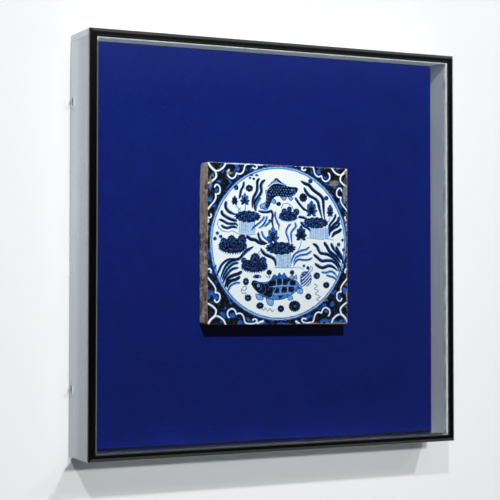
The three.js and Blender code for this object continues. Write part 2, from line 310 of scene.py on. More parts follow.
def bright_zinc():
    """The side screws' zinc: a blue-white painted highlight, with painted shade in the cross and toward the
    wall.
    """
    material, tree = new_material("bright zinc")
    across, deep, _ = apart(tree, own_place(tree))
    out = maths(tree, "ABSOLUTE", across)
    # Painted shade in the cross recess and on the head's half toward the wall; the rest is a painted
    # highlight.
    lit_side = blended(tree, ranged(tree, out, *cross_reach, 0, 1), cross_shade, zinc_glint_blue)
    colour = blended(tree, ranged(tree, deep, *screw_shade_depth, 0, 0.9), lit_side, zinc_shaded)
    grain = noisy(tree, own_place(tree), 500)
    return surface(material, {
        "Base Color": colour,
        "Metallic": 0.8,
        "Roughness": ranged(tree, grain, 0.3, 0.7, 0.18, 0.3),
    })


steel = zinc_steel()
dress([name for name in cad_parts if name.startswith(("hanger_", "stud_", "tile_mount"))], steel)
dress([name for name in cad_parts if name.startswith("wall_screw")], bright_zinc())


# The board and the battens
# A plywood board on four softwood battens, glued. They carry the cloth, the tile and the
# hangers, and only show from behind, inside the hem of the cloth.

pine_pale = (0.62, 0.44, 0.25, 1)
pine_dark = (0.36, 0.21, 0.10, 1)
ply_pale = (0.60, 0.46, 0.30, 1)
ply_dark = (0.44, 0.31, 0.18, 1)


def make_grain_group():
    """Wood grain along Z: wandering growth rings, fine pores and slow changes of tone."""
    group, given, result = new_group(
        "wood grain",
        [
            ("Place", "NodeSocketVector", None),
            ("Rings", "NodeSocketFloat", 1.0),
            ("Pale", "NodeSocketColor", pine_pale),
            ("Dark", "NodeSocketColor", pine_dark),
        ],
        [("Colour", "NodeSocketColor"), ("Height", "NodeSocketFloat")],
    )
    place = given.outputs["Place"]
    drift = stretched(group, place, (9, 9, 2.2))
    wander = noisy(group, drift, 1)
    rings = maths(group, "MULTIPLY", wander, given.outputs["Rings"])
    folded = maths(group, "PINGPONG", rings, 1.0)
    fine = stretched(group, place, (1500, 1500, 25))
    pores = noisy(group, fine, 1)
    broad = stretched(group, place, (160, 160, 3))
    bands = noisy(group, broad, 1, 3)
    mixed = maths(group, "MULTIPLY", folded, bands)
    share = maths(group, "MULTIPLY_ADD", pores, 0.35, mixed)
    dark_share = ranged(group, share, 0.15, 0.85, 0, 0.8)
    colour = blended(group, dark_share, given.outputs["Pale"], given.outputs["Dark"])
    group.links.new(colour, result.inputs["Colour"])
    group.links.new(pores, result.inputs["Height"])
    return group


grain_group = make_grain_group()


def bare_wood(name, pale, dark, rings, turn=0.0):
    material, tree = new_material(name)
    grain = add(tree, "ShaderNodeGroup", node_tree=grain_group)
    tree.links.new(own_place(tree, turn=(0, turn, 0)), grain.inputs["Place"])
    for socket, value in (("Rings", rings), ("Pale", pale), ("Dark", dark)):
        grain.inputs[socket].default_value = value
    bump = bumped(tree, grain.outputs["Height"], 0.25, 0.0005)
    return surface(material, {
        "Base Color": grain.outputs["Colour"],
        "Roughness": 0.72,
        "Normal": bump,
    })


quarter = math.radians(90)
dress(["batten_left", "batten_right"], bare_wood("pine, upright", pine_pale, pine_dark, 22.0))
dress(["batten_top", "batten_bottom"], bare_wood("pine, level", pine_pale, pine_dark, 22.0, quarter))
dress(["backing_board"], bare_wood("birch plywood", ply_pale, ply_dark, 9.0))


# The cloth cover
# One piece of royal blue plain-woven cloth, stretched over the face and the edges of the panel,
# turned over at the back and stapled to the battens. Its flat size is kept in a UV map.

cloth_edge = 0.0016
cloth_gauge = 0.0009
cloth_hem = 0.018
cloth_cuts = 60
cloth_dip = 0.00045
thread = 0.00062
cloth_blue = (0.0028, 0.0128, 0.155, 1)
cloth_deep = (0.0018, 0.0084, 0.107, 1)


def woven_blue():
    material, tree = new_material("royal blue woven cloth")
    flat = add(tree, "ShaderNodeUVMap", uv_map="cut").outputs[0]
    pitch = 2 * math.pi / thread
    waves = [maths(tree, "SINE", maths(tree, "MULTIPLY", way, pitch)) for way in apart(tree, flat)[:2]]
    weave = maths(tree, "MULTIPLY", *waves)
    slubs = [noisy(tree, stretched(tree, flat, scale), 1) for scale in ((60, 900, 1), (900, 60, 1))]
    slub = maths(tree, "ADD", *slubs)
    cloud = noisy(tree, flat, 22, 3)
    mottle = noisy(tree, flat, 140)
    clouds = maths(tree, "ADD", cloud, mottle)
    tone = maths(tree, "ADD", slub, clouds)
    colour = blended(tree, ranged(tree, tone, 1.55, 2.45, 0, 1), cloth_deep, cloth_blue)
    height = maths(tree, "ADD", weave, slub)
    bump = bumped(tree, height, 0.35, 0.00015)
    return surface(material, {
        "Base Color": colour,
        "Roughness": 0.9,
        "Specular IOR Level": 0.06,
        "Sheen Weight": 0.02,
        "Sheen Roughness": 0.5,
        "Normal": bump,
    })


def add_block(shape, middle, size, stand=Matrix()):
    """A plain block round its middle, which may stand turned."""
    place = stand @ Matrix.Translation(middle) @ Matrix.Diagonal((*size, 1))
    bmesh.ops.create_cube(shape, size=1, matrix=place)


def stretched_cloth():
    """The cover: face, turned edges and hem, with an open back and the face dipping a little."""
    low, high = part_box("cloth_cover")
    size = high - low
    cloth = bmesh.new()
    add_block(cloth, (low + high) / 2, size)
    round_edges(cloth, cloth.edges[:], cloth_edge, 3)
    rear = max(cloth.faces, key=lambda face: face.calc_center_median().y)
    bmesh.ops.inset_region(cloth, faces=[rear], thickness=cloth_hem - cloth_edge)
    bmesh.ops.delete(cloth, geom=[rear], context="FACES")
    front = min(cloth.faces, key=lambda face: face.calc_center_median().y)
    bmesh.ops.subdivide_edges(cloth, edges=front.edges[:], cuts=cloth_cuts, use_grid_fill=True)
    reach = Vector((size.x / 2 - cloth_edge, 0, size.z / 2 - cloth_edge))
    for vertex in cloth.verts:
        if vertex.co.y > low.y + 1e-6:
            continue
        inside = (1 - abs(vertex.co.x) / reach.x) * (1 - abs(vertex.co.z) / reach.z)
        if inside > 1e-4:
            swell = 0.5 + 0.5 * noise.noise(vertex.co * 14)
            vertex.co.y += cloth_dip * swell * min(1, 12 * inside)
    return cloth, low, high


def lay_out_cut(piece, low, high):
    """Gives the cloth a UV map in metres, as it lies flat before it is stretched."""
    cut = piece.data.uv_layers.new(name="cut")
    for face in piece.data.polygons:
        for loop in face.loop_indices:
            x, y, z = piece.data.vertices[piece.data.loops[loop].vertex_index].co
            back = y - low.y
            u = x
            v = z
            if abs(face.normal.x) > 0.7:
                u = x + math.copysign(back, x)
            elif abs(face.normal.z) > 0.7:
                v = z + math.copysign(back, z)
            cut.data[loop].uv = (u, v)


cover_shape, cover_low, cover_high = stretched_cloth()
cover = place_piece("cloth_cover_woven", cover_shape, [woven_blue()], ["cloth_cover"])
lay_out_cut(cover, cover_low, cover_high)
gauge = cover.modifiers.new("gauge", "SOLIDIFY")
gauge.thickness = cloth_gauge
gauge.offset = -1


# The staples
# Galvanised wire staples, shot through the hem into the battens with a hand stapler, a little
# askew, about every 45 mm round the back.

staple_crown = 0.0115
staple_wire = 0.0007
staple_step = 0.045
staple_in = 0.010
staple_bite = 0.003
staple_askew = 0.35


def staple_row():
    """All the staples as one piece: each is a bent wire whose legs go into the hem."""
    low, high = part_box("cloth_cover")
    row = bmesh.new()
    places = []
    for along, across, turn in ((0, 2, 0.0), (2, 0, quarter)):
        span = high[along] - low[along] - 4 * staple_in
        count = int(span / staple_step)
        for side in (low[across] + staple_in, high[across] - staple_in):
            for i in range(count + 1):
                spot = Vector((0, high.y, 0))
                spot[along] = low[along] + 2 * staple_in + span * i / count
                spot[across] = side
                places.append((spot, turn))
    for spot, turn in places:
        askew = staple_askew * noise.noise(spot * 200)
        stand = Matrix.Translation(spot) @ Matrix.Rotation(turn + askew, 4, "Y")
        for middle, size in (
            ((0, staple_wire * 0.3, 0), (staple_crown, staple_wire, staple_wire)),
            ((-staple_crown / 2, -staple_bite / 2, 0), (staple_wire, staple_bite, staple_wire)),
            ((staple_crown / 2, -staple_bite / 2, 0), (staple_wire, staple_bite, staple_wire)),
        ):
            add_block(row, middle, size, stand)
    round_edges(row, row.edges[:], staple_wire * 0.2, 1)
    return row


place_piece("hem_staples", staple_row(), [steel], ())


# The tile's body
# A hand-cut slab of coarse fired clay, bare and stained on its edges, with worn and rounded
# corners. A steel plate bonded to its back carries it on four studs.

slab_grain = 0.0022
slab_corner = 0.0045
slab_rough = 0.0006
slab_knock = 0.6
slab_nibble = 0.12
glaze_gauge = 0.0008
clay_pale = (0.46, 0.385, 0.275, 1)
clay_dark = (0.060, 0.045, 0.032, 1)
clay_chalk = (0.70, 0.66, 0.58, 1)


def fired_clay():
    material, tree = new_material("bare fired clay")
    smear = noisy(tree, own_place(tree, (50, 60, 30), (0.6, 0, 0)), 1, 6, Roughness=0.6, Distortion=0.8)
    chalk = noisy(tree, own_place(tree, (70, 55, 120), (0.5, 0, 0)), 1, 5, Roughness=0.7)
    grit = noisy(tree, own_place(tree), 900, 4, Roughness=0.7)
    base = blended(tree, ranged(tree, smear, 0.46, 0.60, 0, 0.9), clay_pale, clay_dark)
    dusty = blended(tree, ranged(tree, chalk, 0.54, 0.62, 0, 0.85), base, clay_chalk)
    colour = blended(tree, ranged(tree, grit, 0.35, 0.75, 0, 0.45), dusty, clay_dark)
    bump = bumped(tree, grit, 0.6, 0.0008)
    return surface(material, {
        "Base Color": colour,
        "Roughness": 0.85,
        "Specular IOR Level": 0.2,
        "Normal": bump,
    })


def saw(shape, place, normal, take_off=True):
    """Cuts the shape along a plane, and takes off the side that the normal points to."""
    whole = shape.verts[:] + shape.edges[:] + shape.faces[:]
    bmesh.ops.bisect_plane(shape, geom=whole, plane_co=place, plane_no=normal, clear_outer=take_off)
    if take_off:
        bmesh.ops.holes_fill(shape, edges=[e for e in shape.edges if e.is_boundary])


def clay_slab():
    """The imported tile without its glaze, its faces cut fine and worn by noise, always inwards."""
    slab = copy_of("tile")
    low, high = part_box("tile")
    middle = (low + high) / 2
    half = (high - low) / 2
    saw(slab, Vector((0, low.y + glaze_gauge, 0)), (0, -1, 0))
    for axis in range(3):
        normal = Vector([float(i == axis) for i in range(3)])
        cuts = int((high[axis] - low[axis]) / slab_grain)
        for i in range(1, cuts):
            saw(slab, low + (high - low) * i / cuts, normal, take_off=False)
    for vertex in slab.verts:
        place = vertex.co.copy()
        behind = max(0, 1 - (high.y - place.y) / slab_corner)
        rough = slab_rough * max(0, 0.35 + 0.6 * noise.fractal(place * 110, 1.0, 2.0, 4))
        across = (place.x - middle.x) / half.x
        up = (place.z - middle.z) / half.z
        knock = slab_knock * max(0, up) ** 8 + slab_nibble * max(0, noise.noise(place * 35))
        corner = slab_corner * behind**2 * knock
        vertex.co.x -= (rough + corner) * across**7
        vertex.co.z -= (rough + corner) * up**7
    return slab


place_piece("tile_clay_body", clay_slab(), [fired_clay()], ["tile"], smooth=True)


# The tile's glaze
# A thick glossy white glaze over the face, rolled over at the rim and flaked along the right
# edge. The painting lies in it: cobalt brushwork, almost black where the colour is heaped.

glaze_cuts = 308
glaze_roll = 0.0013
glaze_turn = 0.0004
glaze_ragged = 0.0004
glaze_ragged_deep = 0.006
glaze_swell = 0.00018
glaze_dimple = 0.00006
tile_corner = 0.0025
tile_lean = 0.0024
brush_soft = 0.55
ring_x = 1.8
ring_z = 4.0
ring_outer = 106.9
scroll_x = 1.7
scroll_z = 3
scroll_wide = 5.6
glaze_white = (0.86, 0.94, 0.93, 1)
cobalt_black = (0.0016, 0.0036, 0.0058, 1)
cobalt_tones = (
    (0.10, (0.62, 0.78, 0.90, 1)),
    (0.30, (0.20, 0.42, 0.78, 1)),
    (0.50, (0.020, 0.135, 0.50, 1)),
    (0.68, (0.004, 0.038, 0.20, 1)),
    (0.84, (0.0018, 0.0085, 0.030, 1)),
)
rust_brown = (0.105, 0.062, 0.030, 1)
clay_bare = (0.10, 0.078, 0.055, 1)
clay_stained = (0.34, 0.30, 0.25, 1)


def glaze_sheet():
    """A fine grid laid over the tile's leaning outline, closed at the back by one flat face."""
    low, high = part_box("tile")
    middle = (low + high) / 2
    half = (high - low) / 2
    upright = half.z - tile_lean / 2
    sheet = bmesh.new()
    bmesh.ops.create_grid(sheet, x_segments=glaze_cuts, y_segments=glaze_cuts, size=1)
    for vertex in sheet.verts:
        across = vertex.co.x * half.x
        up = vertex.co.y * upright
        past_x = abs(across) - half.x + tile_corner
        past_z = abs(up) - upright + tile_corner
        if past_x > 0 and past_z > 0:
            shrink = max(past_x, past_z) / math.hypot(past_x, past_z)
            across -= math.copysign(past_x * (1 - shrink), across)
            up -= math.copysign(past_z * (1 - shrink), up)
        edge = min(half.x - abs(across), upright - abs(up))
        place = Vector((middle.x + across, 0, middle.z + up - tile_lean / 2 * across / half.x))
        ragged = glaze_ragged * (0.5 + 0.5 * noise.fractal(place * 120, 1.0, 2.0, 3))
        inward = ragged * max(0, 1 - edge / glaze_ragged_deep)
        place.x -= math.copysign(inward, across) * (abs(across) / half.x) ** 20
        place.z -= math.copysign(inward, up) * (abs(up) / upright) ** 20
        swell = glaze_swell * (0.5 + 0.5 * noise.noise(place * 28))
        swell += glaze_dimple * (1 + noise.noise(place * 160))
        place.y = low.y + swell + (glaze_gauge - glaze_turn) * max(0, 1 - edge / glaze_roll) ** 2
        vertex.co = place
    rim = bmesh.ops.extrude_edge_only(sheet, edges=[e for e in sheet.edges if e.is_boundary])["geom"]
    for vertex in rim:
        if isinstance(vertex, bmesh.types.BMVert):
            vertex.co.y = low.y + glaze_gauge
    bmesh.ops.edgeloop_fill(sheet, edges=[e for e in sheet.edges if e.is_boundary])
    bmesh.ops.recalc_face_normals(sheet, faces=sheet.faces)
    return sheet


glaze_shape = glaze_sheet()
spots = np.array([(v.co.x, v.co.z) for v in glaze_shape.verts]) * 1000
cobalt = np.zeros(len(spots))
heaped = np.zeros(len(spots))
flaked = np.zeros(len(spots))
cloudy, mottled, specked, patchy = (
    np.array([noise.noise((x * fine, z * fine, depth)) for x, z in spots])
    for fine, depth in ((0.16, 1), (0.42, 5), (0.62, 9), (0.10, 14))
)


def curve_through(points, steps=7):
    """A smooth run of points through the given ones."""
    p = np.array([points[0], *points, points[-1]], float)
    t = np.linspace(0, 1, steps, endpoint=False)[:, None]
    runs = []
    for a, b, c, d in zip(p[:-3], p[1:-2], p[2:-1], p[3:]):
        bend = (2 * a - 5 * b + 4 * c - d) * t * t + (3 * b - a - 3 * c + d) * t**3
        runs.append(b + 0.5 * ((c - a) * t + bend))
    return np.concatenate([*runs, p[-1:]])


def spots_round(path, reach):
    """The numbers of the spots in millimetres that may lie within reach of the path."""
    low = path.min(0) - reach
    high = path.max(0) + reach
    return np.flatnonzero(((spots > low) & (spots < high)).all(1))


def measured_from(path, here):
    """For some spots: how far from the path, what share along it, and on which side."""
    step = path[1:] - path[:-1]
    away = spots[here][:, None] - path[:-1]
    along = np.clip((away * step).sum(2) / np.maximum((step**2).sum(1), 1e-9), 0, 1)
    gap = away - along[..., None] * step
    far = np.hypot(gap[..., 0], gap[..., 1])
    best = far.argmin(1)
    rows = np.arange(len(here))
    turn = step[best, 0] * away[rows, best, 1] - step[best, 1] * away[rows, best, 0]
    return far[rows, best], (best + along[rows, best]) / len(step), np.sign(turn)


def lay(here, cover, tone, heap=0.0):
    """Lays colour over what is there: it only ever gets darker."""
    tone = np.clip(tone, 0, 1)
    cobalt[here] += (np.maximum(cobalt[here], tone) - cobalt[here]) * cover
    heaped[here] = np.maximum(heaped[here], cover * heap)


def scrape(here, cover, tone):
    """Takes colour away, down to the tone."""
    cobalt[here] += (tone - cobalt[here]) * cover
    heaped[here] *= 1 - cover


def edged(inward, soft=brush_soft):
    """The share of cover by how far a spot lies inside an edge, which is a little soft."""
    return np.clip(inward / soft + 0.5, 0, 1)


def brush(points, width, tone, lit=0.0, heap=0.0, start=0.12, end=0.3, soft=brush_soft):
    """A stroke with pointed ends. A positive lit pales its left side, a negative its right."""
    path = curve_through(points)
    here = spots_round(path, width)
    far, along, side = measured_from(path, here)
    swell = np.minimum(1, np.minimum(along / start, (1 - along) / end) ** 0.6)
    lean = np.clip(np.sign(lit) * side * far / width * 4 - 0.1, 0, 1)
    shade = tone * (1 - abs(lit) * lean) + 0.12 * mottled[here]
    lay(here, edged(width / 2 * swell - far, soft), shade, heap)


def tint(points, width, tone, soft=brush_soft):
    """A line scraped through dark colour down to a brighter blue."""
    path = curve_through(points)
    here = spots_round(path, width)
    scrape(here, edged(width / 2 - measured_from(path, here)[0], soft), tone)


def reserve(points, width):
    """A line left white in the ground."""
    tint(points, width, 0, 0.6)


def inside_of(path, here):
    """Which of some spots lie inside a closed path."""
    x, z = spots[here].T[:, :, None]
    a = path[:-1]
    b = path[1:]
    rise = np.where(a[:, 1] == b[:, 1], 1e-9, b[:, 1] - a[:, 1])
    crosses = (a[:, 1] > z) != (b[:, 1] > z)
    return (crosses & (x < a[:, 0] + (z - a[:, 1]) * (b[:, 0] - a[:, 0]) / rise)).sum(1) % 2 == 1


def wash(points, tone, rim=None, rim_width=0.9, heap=0.0, mottle=0.1):
    """A filled shape, with a darker outline where a rim is given."""
    path = curve_through([*points, points[0]])
    here = spots_round(path, 2)
    far = measured_from(path, here)[0]
    shade = tone + mottle * mottled[here]
    if rim is not None:
        shade = shade + (rim - shade) * np.exp(-((far / rim_width) ** 2))
    lay(here, edged(np.where(inside_of(path, here), far, -far)), shade, heap)


def pad(x, z, rx, rz, teeth=24, bite=0.10, tone=1.0, heap=0.9, mottle=0.45):
    """A round or oval blot with a scalloped edge, flecked with brighter blue."""
    here = np.flatnonzero((abs(spots[:, 0] - x) < rx * 1.4) & (abs(spots[:, 1] - z) < rz * 1.4))
    dx = (spots[here, 0] - x) / rx
    dz = (spots[here, 1] - z) / rz
    rim = 1 - bite * (1 - abs(np.sin(np.arctan2(dz, dx) * teeth / 2)))
    shade = tone - mottle * np.clip(4 * specked[here] - 0.35, 0, 1)
    lay(here, edged((rim - np.hypot(dx, dz)) * min(rx, rz)), shade, heap)


def heart(x, z, r, tone=0.3):
    """A paler drop in the middle of a blot."""
    here = np.flatnonzero(np.hypot(spots[:, 0] - x, spots[:, 1] - z) < r * 2)
    far = np.hypot(spots[here, 0] - x, spots[here, 1] - z)
    scrape(here, edged(r - far, 0.8), tone)


def nick(x, z, reach, left, top, right, width=0.9):
    """A short arched line scraped in a blot."""
    tint([(x - reach, z + left), (x, z + top), (x + reach, z + right)], width, 0.5)


def lotus(x, z, width, height, petal=0.42, core=0.92):
    """A flower seen from the side: seven pointed petals round a dark core."""
    for turn, reach in ((-104, 0.8), (104, 0.8), (-76, 1.0), (76, 1.0), (-40, 0.95), (40, 0.95), (0, 1.0)):
        lean = math.radians(turn)
        tip = (x + math.sin(lean) * width / 2 * reach, z + math.cos(lean) * height * reach)
        side = Vector((tip[0] - x, tip[1] - z)).orthogonal() * 0.26
        belly = Vector((x, z)).lerp(Vector(tip), 0.5)
        wash([(x, z), tuple(belly + side), tip, tuple(belly - side)], petal, min(1, petal + 0.42), 0.6)
        brush([(x, z), tuple(belly), tip], 1.0, 0.95, end=0.5)
    pad(x, z + height * 0.3, width * 0.19, height * 0.32, 9, 0.2, core, 0.7, 0.3)


def leaf(x, z, rx, rz, lobes):
    """A floating leaf with raised lobes, and a bright fringe along its lower edge."""
    for i in range(15):
        turn = math.radians(200 + 140 * i / 14)
        foot = (x + math.cos(turn) * rx * 0.93, z + math.sin(turn) * rz * 0.93)
        tip = (x + math.cos(turn) * (rx + 1.8), z + math.sin(turn) * (rz + 1.8))
        brush([foot, tip], 2.0, 0.55, start=0.05, end=0.6)
    pad(x, z, rx, rz, 22, 0.09)
    for lobe_x, lobe_z, r in lobes:
        pad(lobe_x, lobe_z, r, r, 9, 0.12)
        nick(lobe_x, lobe_z, r * 0.72, -r * 0.5, r * 0.35, -r * 0.5)
    for i in range(7):
        turn = 2.4 * i
        nick(x + rx * 0.7 * math.sin(turn), z + rz * 0.6 * math.cos(1.7 * turn), 2, -0.6, 0, -0.8, 0.8)


def paint_corners():
    """The corners outside the ring: blue fills, dark grounds and white scrolls left bare."""
    ring = np.hypot(spots[:, 0] - ring_x, spots[:, 1] - ring_z)
    outside = ring > ring_outer
    azure = np.clip(5 * patchy + 1.5 * cloudy - 0.1, 0, 1)
    ground = 1.02 - 0.46 * azure + 0.16 * mottled
    near_ring = np.exp(-(((ring - ring_outer) / 2.0) ** 2))
    ground += (1.0 - ground) * 0.85 * near_ring * (cloudy > -0.2)
    cobalt[outside] = np.clip(ground, 0.44, 1)[outside]
    heaped[outside] = np.clip((1 - azure) * (0.75 + mottled), 0, 1)[outside]
    sideways = [
        (77.5, 100), (79, 98.4), (79.8, 95), (78.6, 91.3), (73.5, 88.4), (69, 90.2), (67, 93.6), (66.2, 95.9),
        (62.7, 94.7), (58.4, 95.8), (55.5, 99.3), (54.2, 103.8), (52.3, 108), (48, 108.8), (44, 109.3),
        (40, 109), (36, 107.3), (35, 104.5), (38, 102.8), (41, 103.8),
    ]
    upright = [
        (99.1, 76.2), (97.4, 79), (94, 79), (91.1, 74.5), (91.7, 68.8), (95.1, 66.5), (97.9, 66.5),
        (97.4, 62), (100.2, 56.3), (105.9, 50), (109.9, 45), (111, 40.4), (109.9, 35.9), (106.5, 34.2),
        (104.2, 37), (104.7, 39.3),
    ]
    arcs = [
        [(97.9, 97.2), (91.1, 99.5), (85.4, 104), (82.6, 109.7)],
        [(97.9, 97.2), (96.8, 90.4), (101.3, 85.3), (107, 81.9), (111.6, 80.2)],
    ]
    for right in (-1, 1):
        for top in (-1, 1):
            hand = 0.8 * noise.noise((right, top, 3)), 0.8 * noise.noise((right, top, 8))

            def turned(points):
                shifted = [(a + hand[0], b + hand[1]) for a, b in points]
                return [(scroll_x + right * a, scroll_z + top * b) for a, b in shifted]

            def white_line(points, heap, width):
                brush(turned(points), scroll_wide, 1.0, heap=heap, start=0.01, end=0.01, soft=1.2)
                reserve(turned(points), width)

            for scroll, curl in ((sideways, 4), (upright, 3)):
                white_line(scroll, 0.9, 2.5)
                heart(*turned([scroll[curl]])[0], 0.1, 0.6)
            for arc in arcs:
                white_line(arc, 0.7, 2.9)
            reserve(turned([(110, 110), (104.7, 103), (98, 97.5)]), 3.4)
    for blaze in (
        [(-31, 111.4), (-25, 112)],
        [(-109, 30), (-107, 33), (-108.5, 36)],
        [(-32.6, -105.7), (-24, -102.8)],
        [(27.5, -104), (33.2, -107.4)],
        [(110, 27), (108.5, 31)],
    ):
        reserve(blaze, 3.2)
    reserve([(-80, 111.3), (-50, 111.6), (-20, 112)], 1.2)


def paint_ring():
    """The ring: a fine line, a white gap and a broad pale line round a white ground."""
    ring = np.hypot(spots[:, 0] - ring_x, spots[:, 1] - ring_z) + 0.25 * cloudy
    inside = ring < ring_outer
    cobalt[inside] = 0
    heaped[inside] = 0
    for radius, width, tone in ((106.1, 1.6, 0.60), (103.7, 1.9, 0.42), (102.9, 0.7, 0.52)):
        cobalt[:] = np.maximum(cobalt, edged(width / 2 - abs(ring - radius)) * (tone + 0.12 * cloudy))


def paint_weeds():
    """Waterweed: long pointed strokes, many dark on one side and bright on the other."""
    for width, tone, lit, strokes in (
        (4.6, 1.0, 0.5, [
            [(-29.2, 92.8), (-32.6, 87.7), (-32.6, 80.9), (-33.7, 74.1), (-38.3, 66.1), (-40, 58.2),
             (-40.5, 51.4)],
            [(-20.1, 91.1), (-24.6, 87.7), (-26.9, 83.2), (-26.3, 76.4), (-26.9, 73), (-32.6, 65),
             (-36, 60.5), (-37.1, 53.6), (-36, 48)],
            [(-79.8, 60.5), (-80.9, 53.6), (-78, 48), (-72.4, 44.5), (-65.5, 42.3)],
            [(-86.6, 48), (-86, 43.4), (-81.5, 40), (-74.6, 36.6), (-66.7, 34.3), (-63.3, 33.2)],
            [(40, 82), (43.5, 76.4), (49.1, 70.7), (57.1, 67.3), (62.2, 62.7), (64.5, 54.8), (66.8, 46.8),
             (69.6, 38.9)],
            [(53.7, 4), (60.5, 0.6), (66.2, -8.5), (77.5, -10.8), (88.9, -16.5), (96.9, -26.7),
             (100.3, -35.8)],
            [(54.8, -10.8), (61.6, -15.3), (68.5, -19.9), (77.5, -19.3), (86.6, -20.4), (93.4, -26.7),
             (96.9, -35.8)],
            [(57.1, -23.3), (63.9, -27.8), (70.7, -29.5), (79.8, -26.7), (87.8, -29), (94.6, -34.6)],
            [(83.2, 5.1), (87.8, -2.8), (94.6, -9.6), (100.3, -18.7)],
            [(-38.3, -1.1), (-47.4, -6.2), (-54.2, -11.9), (-59.9, -17.6), (-71.2, -21), (-79.2, -26.7),
             (-84.9, -35.8), (-88.3, -44.9)],
            [(-25, -6), (-21, -11), (-15, -13.5), (-8, -16.5), (-5, -21), (-4.6, -28)],
        ]),
        (4.8, 1.0, 0.3, [
            [(34.9, 91.1), (41.2, 87.7), (48, 85.5), (53.7, 79.8), (60.5, 75.2), (67.3, 70.7), (70.7, 65),
             (71.3, 55.9), (71.9, 46.8), (73.6, 36.6)],
            [(71.9, 6.3), (76.4, 0.6), (82, -7.4), (92.3, -14.2), (99.1, -23.3)],
            [(96.3, 42.3), (94.6, 35.5), (87.8, 29.8), (82, 23), (80.4, 15)],
            [(100.3, 25.2), (95.7, 21.3), (88.9, 18.4), (84.4, 12.7)],
            [(-55.9, -34.6), (-61, -38), (-69, -40.3), (-75.8, -43.7), (-79.8, -50.5), (-82, -57.4)],
            [(-58.7, -42), (-65.5, -46), (-72.4, -47.7), (-76.9, -51.7), (-78.6, -57.4)],
            [(-49.6, 13.9), (-42.8, 9.3), (-36, 8.2), (-29.2, 4.2), (-20, 1.4)],
            [(-16.7, 65), (-17.8, 58), (-17.8, 51.4)],
        ]),
        (3.8, 0.97, 0.5, [
            [(-53, 87.7), (-54.2, 80.9), (-57.6, 75.2), (-59.3, 67.3), (-61, 63.9)],
            [(-91, 35.5), (-84.9, 33.7), (-78, 30.3), (-71.2, 29.8), (-65.5, 29.8), (-62, 26.4)],
            [(-87.7, 28), (-83.7, 25.2), (-78, 24), (-71.2, 25.8), (-65.5, 25.2), (-63.3, 23)],
            [(-31.5, 18.4), (-29.2, 10.5), (-24.6, 5.9), (-16.7, 3)],
            [(91.2, 45.7), (88.9, 38.9), (82, 30.9), (79.3, 24)],
            [(98, 33.8), (94.6, 28.6), (87.8, 25.2), (81.5, 19.5)],
            [(91.2, 0.6), (95.7, -6.2), (101.4, -15.3), (103.7, -24.4)],
            [(-63.3, -18.7), (-76.9, -19.3), (-86, -25.5), (-90.5, -33.5), (-94, -41.5)],
            [(-61, -23.3), (-70, -25.5), (-78, -32.4), (-83.2, -40.3), (-86.6, -47)],
            [(-61, -30), (-71.2, -32.4), (-78, -39.2), (-82.6, -46), (-84.9, -51.7)],
            [(-27.5, -2.8), (-23.5, -9.6), (-17.8, -13), (-9.9, -15.9), (-5.3, -21), (-4.7, -26.7)],
            [(26, 68), (32, 60), (40, 52), (46, 50)],
            [(31, 41), (40, 40), (46, 37)],
            [(34.9, 34.3), (40, 28.6), (46.9, 25.2), (50.8, 20.7)],
            [(-31.5, 48), (-24.6, 46.8), (-16.7, 46.8), (-11, 48), (-8.7, 42.3), (-9.9, 35.5), (-8.7, 28.6),
             (-8.2, 24)],
        ]),
        (3.4, 0.62, 0.5, [
            [(-95, -26), (-98, -34), (-96, -40)],
            [(-58.2, -50.5), (-65.5, -51.1), (-72.4, -54), (-76.3, -59.6), (-77.5, -64.2)],
            [(-22.4, 41), (-23.5, 36.6), (-31.5, 29.8), (-38.3, 25.2), (-41.7, 20.7)],
            [(-17.8, 41), (-19, 35.5), (-24.6, 27.5), (-31.5, 24)],
            [(-11, 35.5), (-15.6, 30.9), (-22, 26)],
            [(-25.8, 20.7), (-23.5, 13.9), (-16.7, 8.2), (-8.7, 4.2)],
            [(-26.9, 66.1), (-31.5, 60.5), (-34.3, 53.6), (-34.9, 46.8)],
            [(19.6, 30.9), (15, 26.4), (12.2, 19.5), (15, 11.6), (17.3, 2.5)],
            [(25.3, 33.2), (27.5, 27.5), (20.7, 19.5), (20.2, 12.7), (21.3, 2.5)],
            [(-4.7, 48), (-4.7, 41.1), (-1.9, 33.2), (1, 28.6), (0, 22)],
            [(49.1, -0.6), (43.5, -4.5), (34.4, -6.8), (26.4, -10.8), (21.9, -17.6), (20.2, -24.4)],
            [(52.5, -6.2), (45.7, -10.8), (35.5, -12.5), (27.5, -15.9), (23, -23.3)],
            [(53.7, -15.9), (48, -18.7), (40, -19.3), (31, -18.7), (25.8, -23.3), (23.6, -27.8)],
            [(67.9, -35.8), (75.3, -36.3), (83.2, -34.6), (90, -38), (93.4, -43.7)],
            [(75.3, -39.8), (82, -41.5), (88.9, -43.7), (92.3, -48.3)],
        ]),
    ):
        for points in strokes:
            brush(points, width, tone, lit, 0.7 if tone > 0.95 else 0.0)


def paint_reeds():
    """Pale upright stems under the weed beds, over a faint wash, and the pale ground lines."""
    for left, right, top, foot in ((-60, -37, 33, 17), (-3, 19, -10, -29), (50, 80, 26, 12)):
        wash([(left + 1, top), (right - 1, top), (right, foot), (left, foot)], 0.14, mottle=0.06)
        count = int((right - left) / 2.6)
        for i in range(count + 1):
            x = left + (right - left) * i / count
            tone = 0.36 + 0.3 * noise.noise((x, top, 2))
            brush([(x, top), (x + noise.noise((x, foot, 4)), foot)], 0.9, tone, start=0.02, end=0.05)
    for ground in (
        [(-90.5, 24), (-86, 20), (-80, 19), (-76.9, 18.4), (-70, 20), (-64, 17), (-56.5, 15), (-45, 15),
         (-34, 16)],
        [(-8, -29), (0, -30), (10, -29), (20, -30), (30, -29), (40, -32)],
        [(44, 12), (55, 11), (66, 10), (78, 11), (88, 9)],
    ):
        brush(ground, 1.2, 0.34, start=0.05, end=0.05)


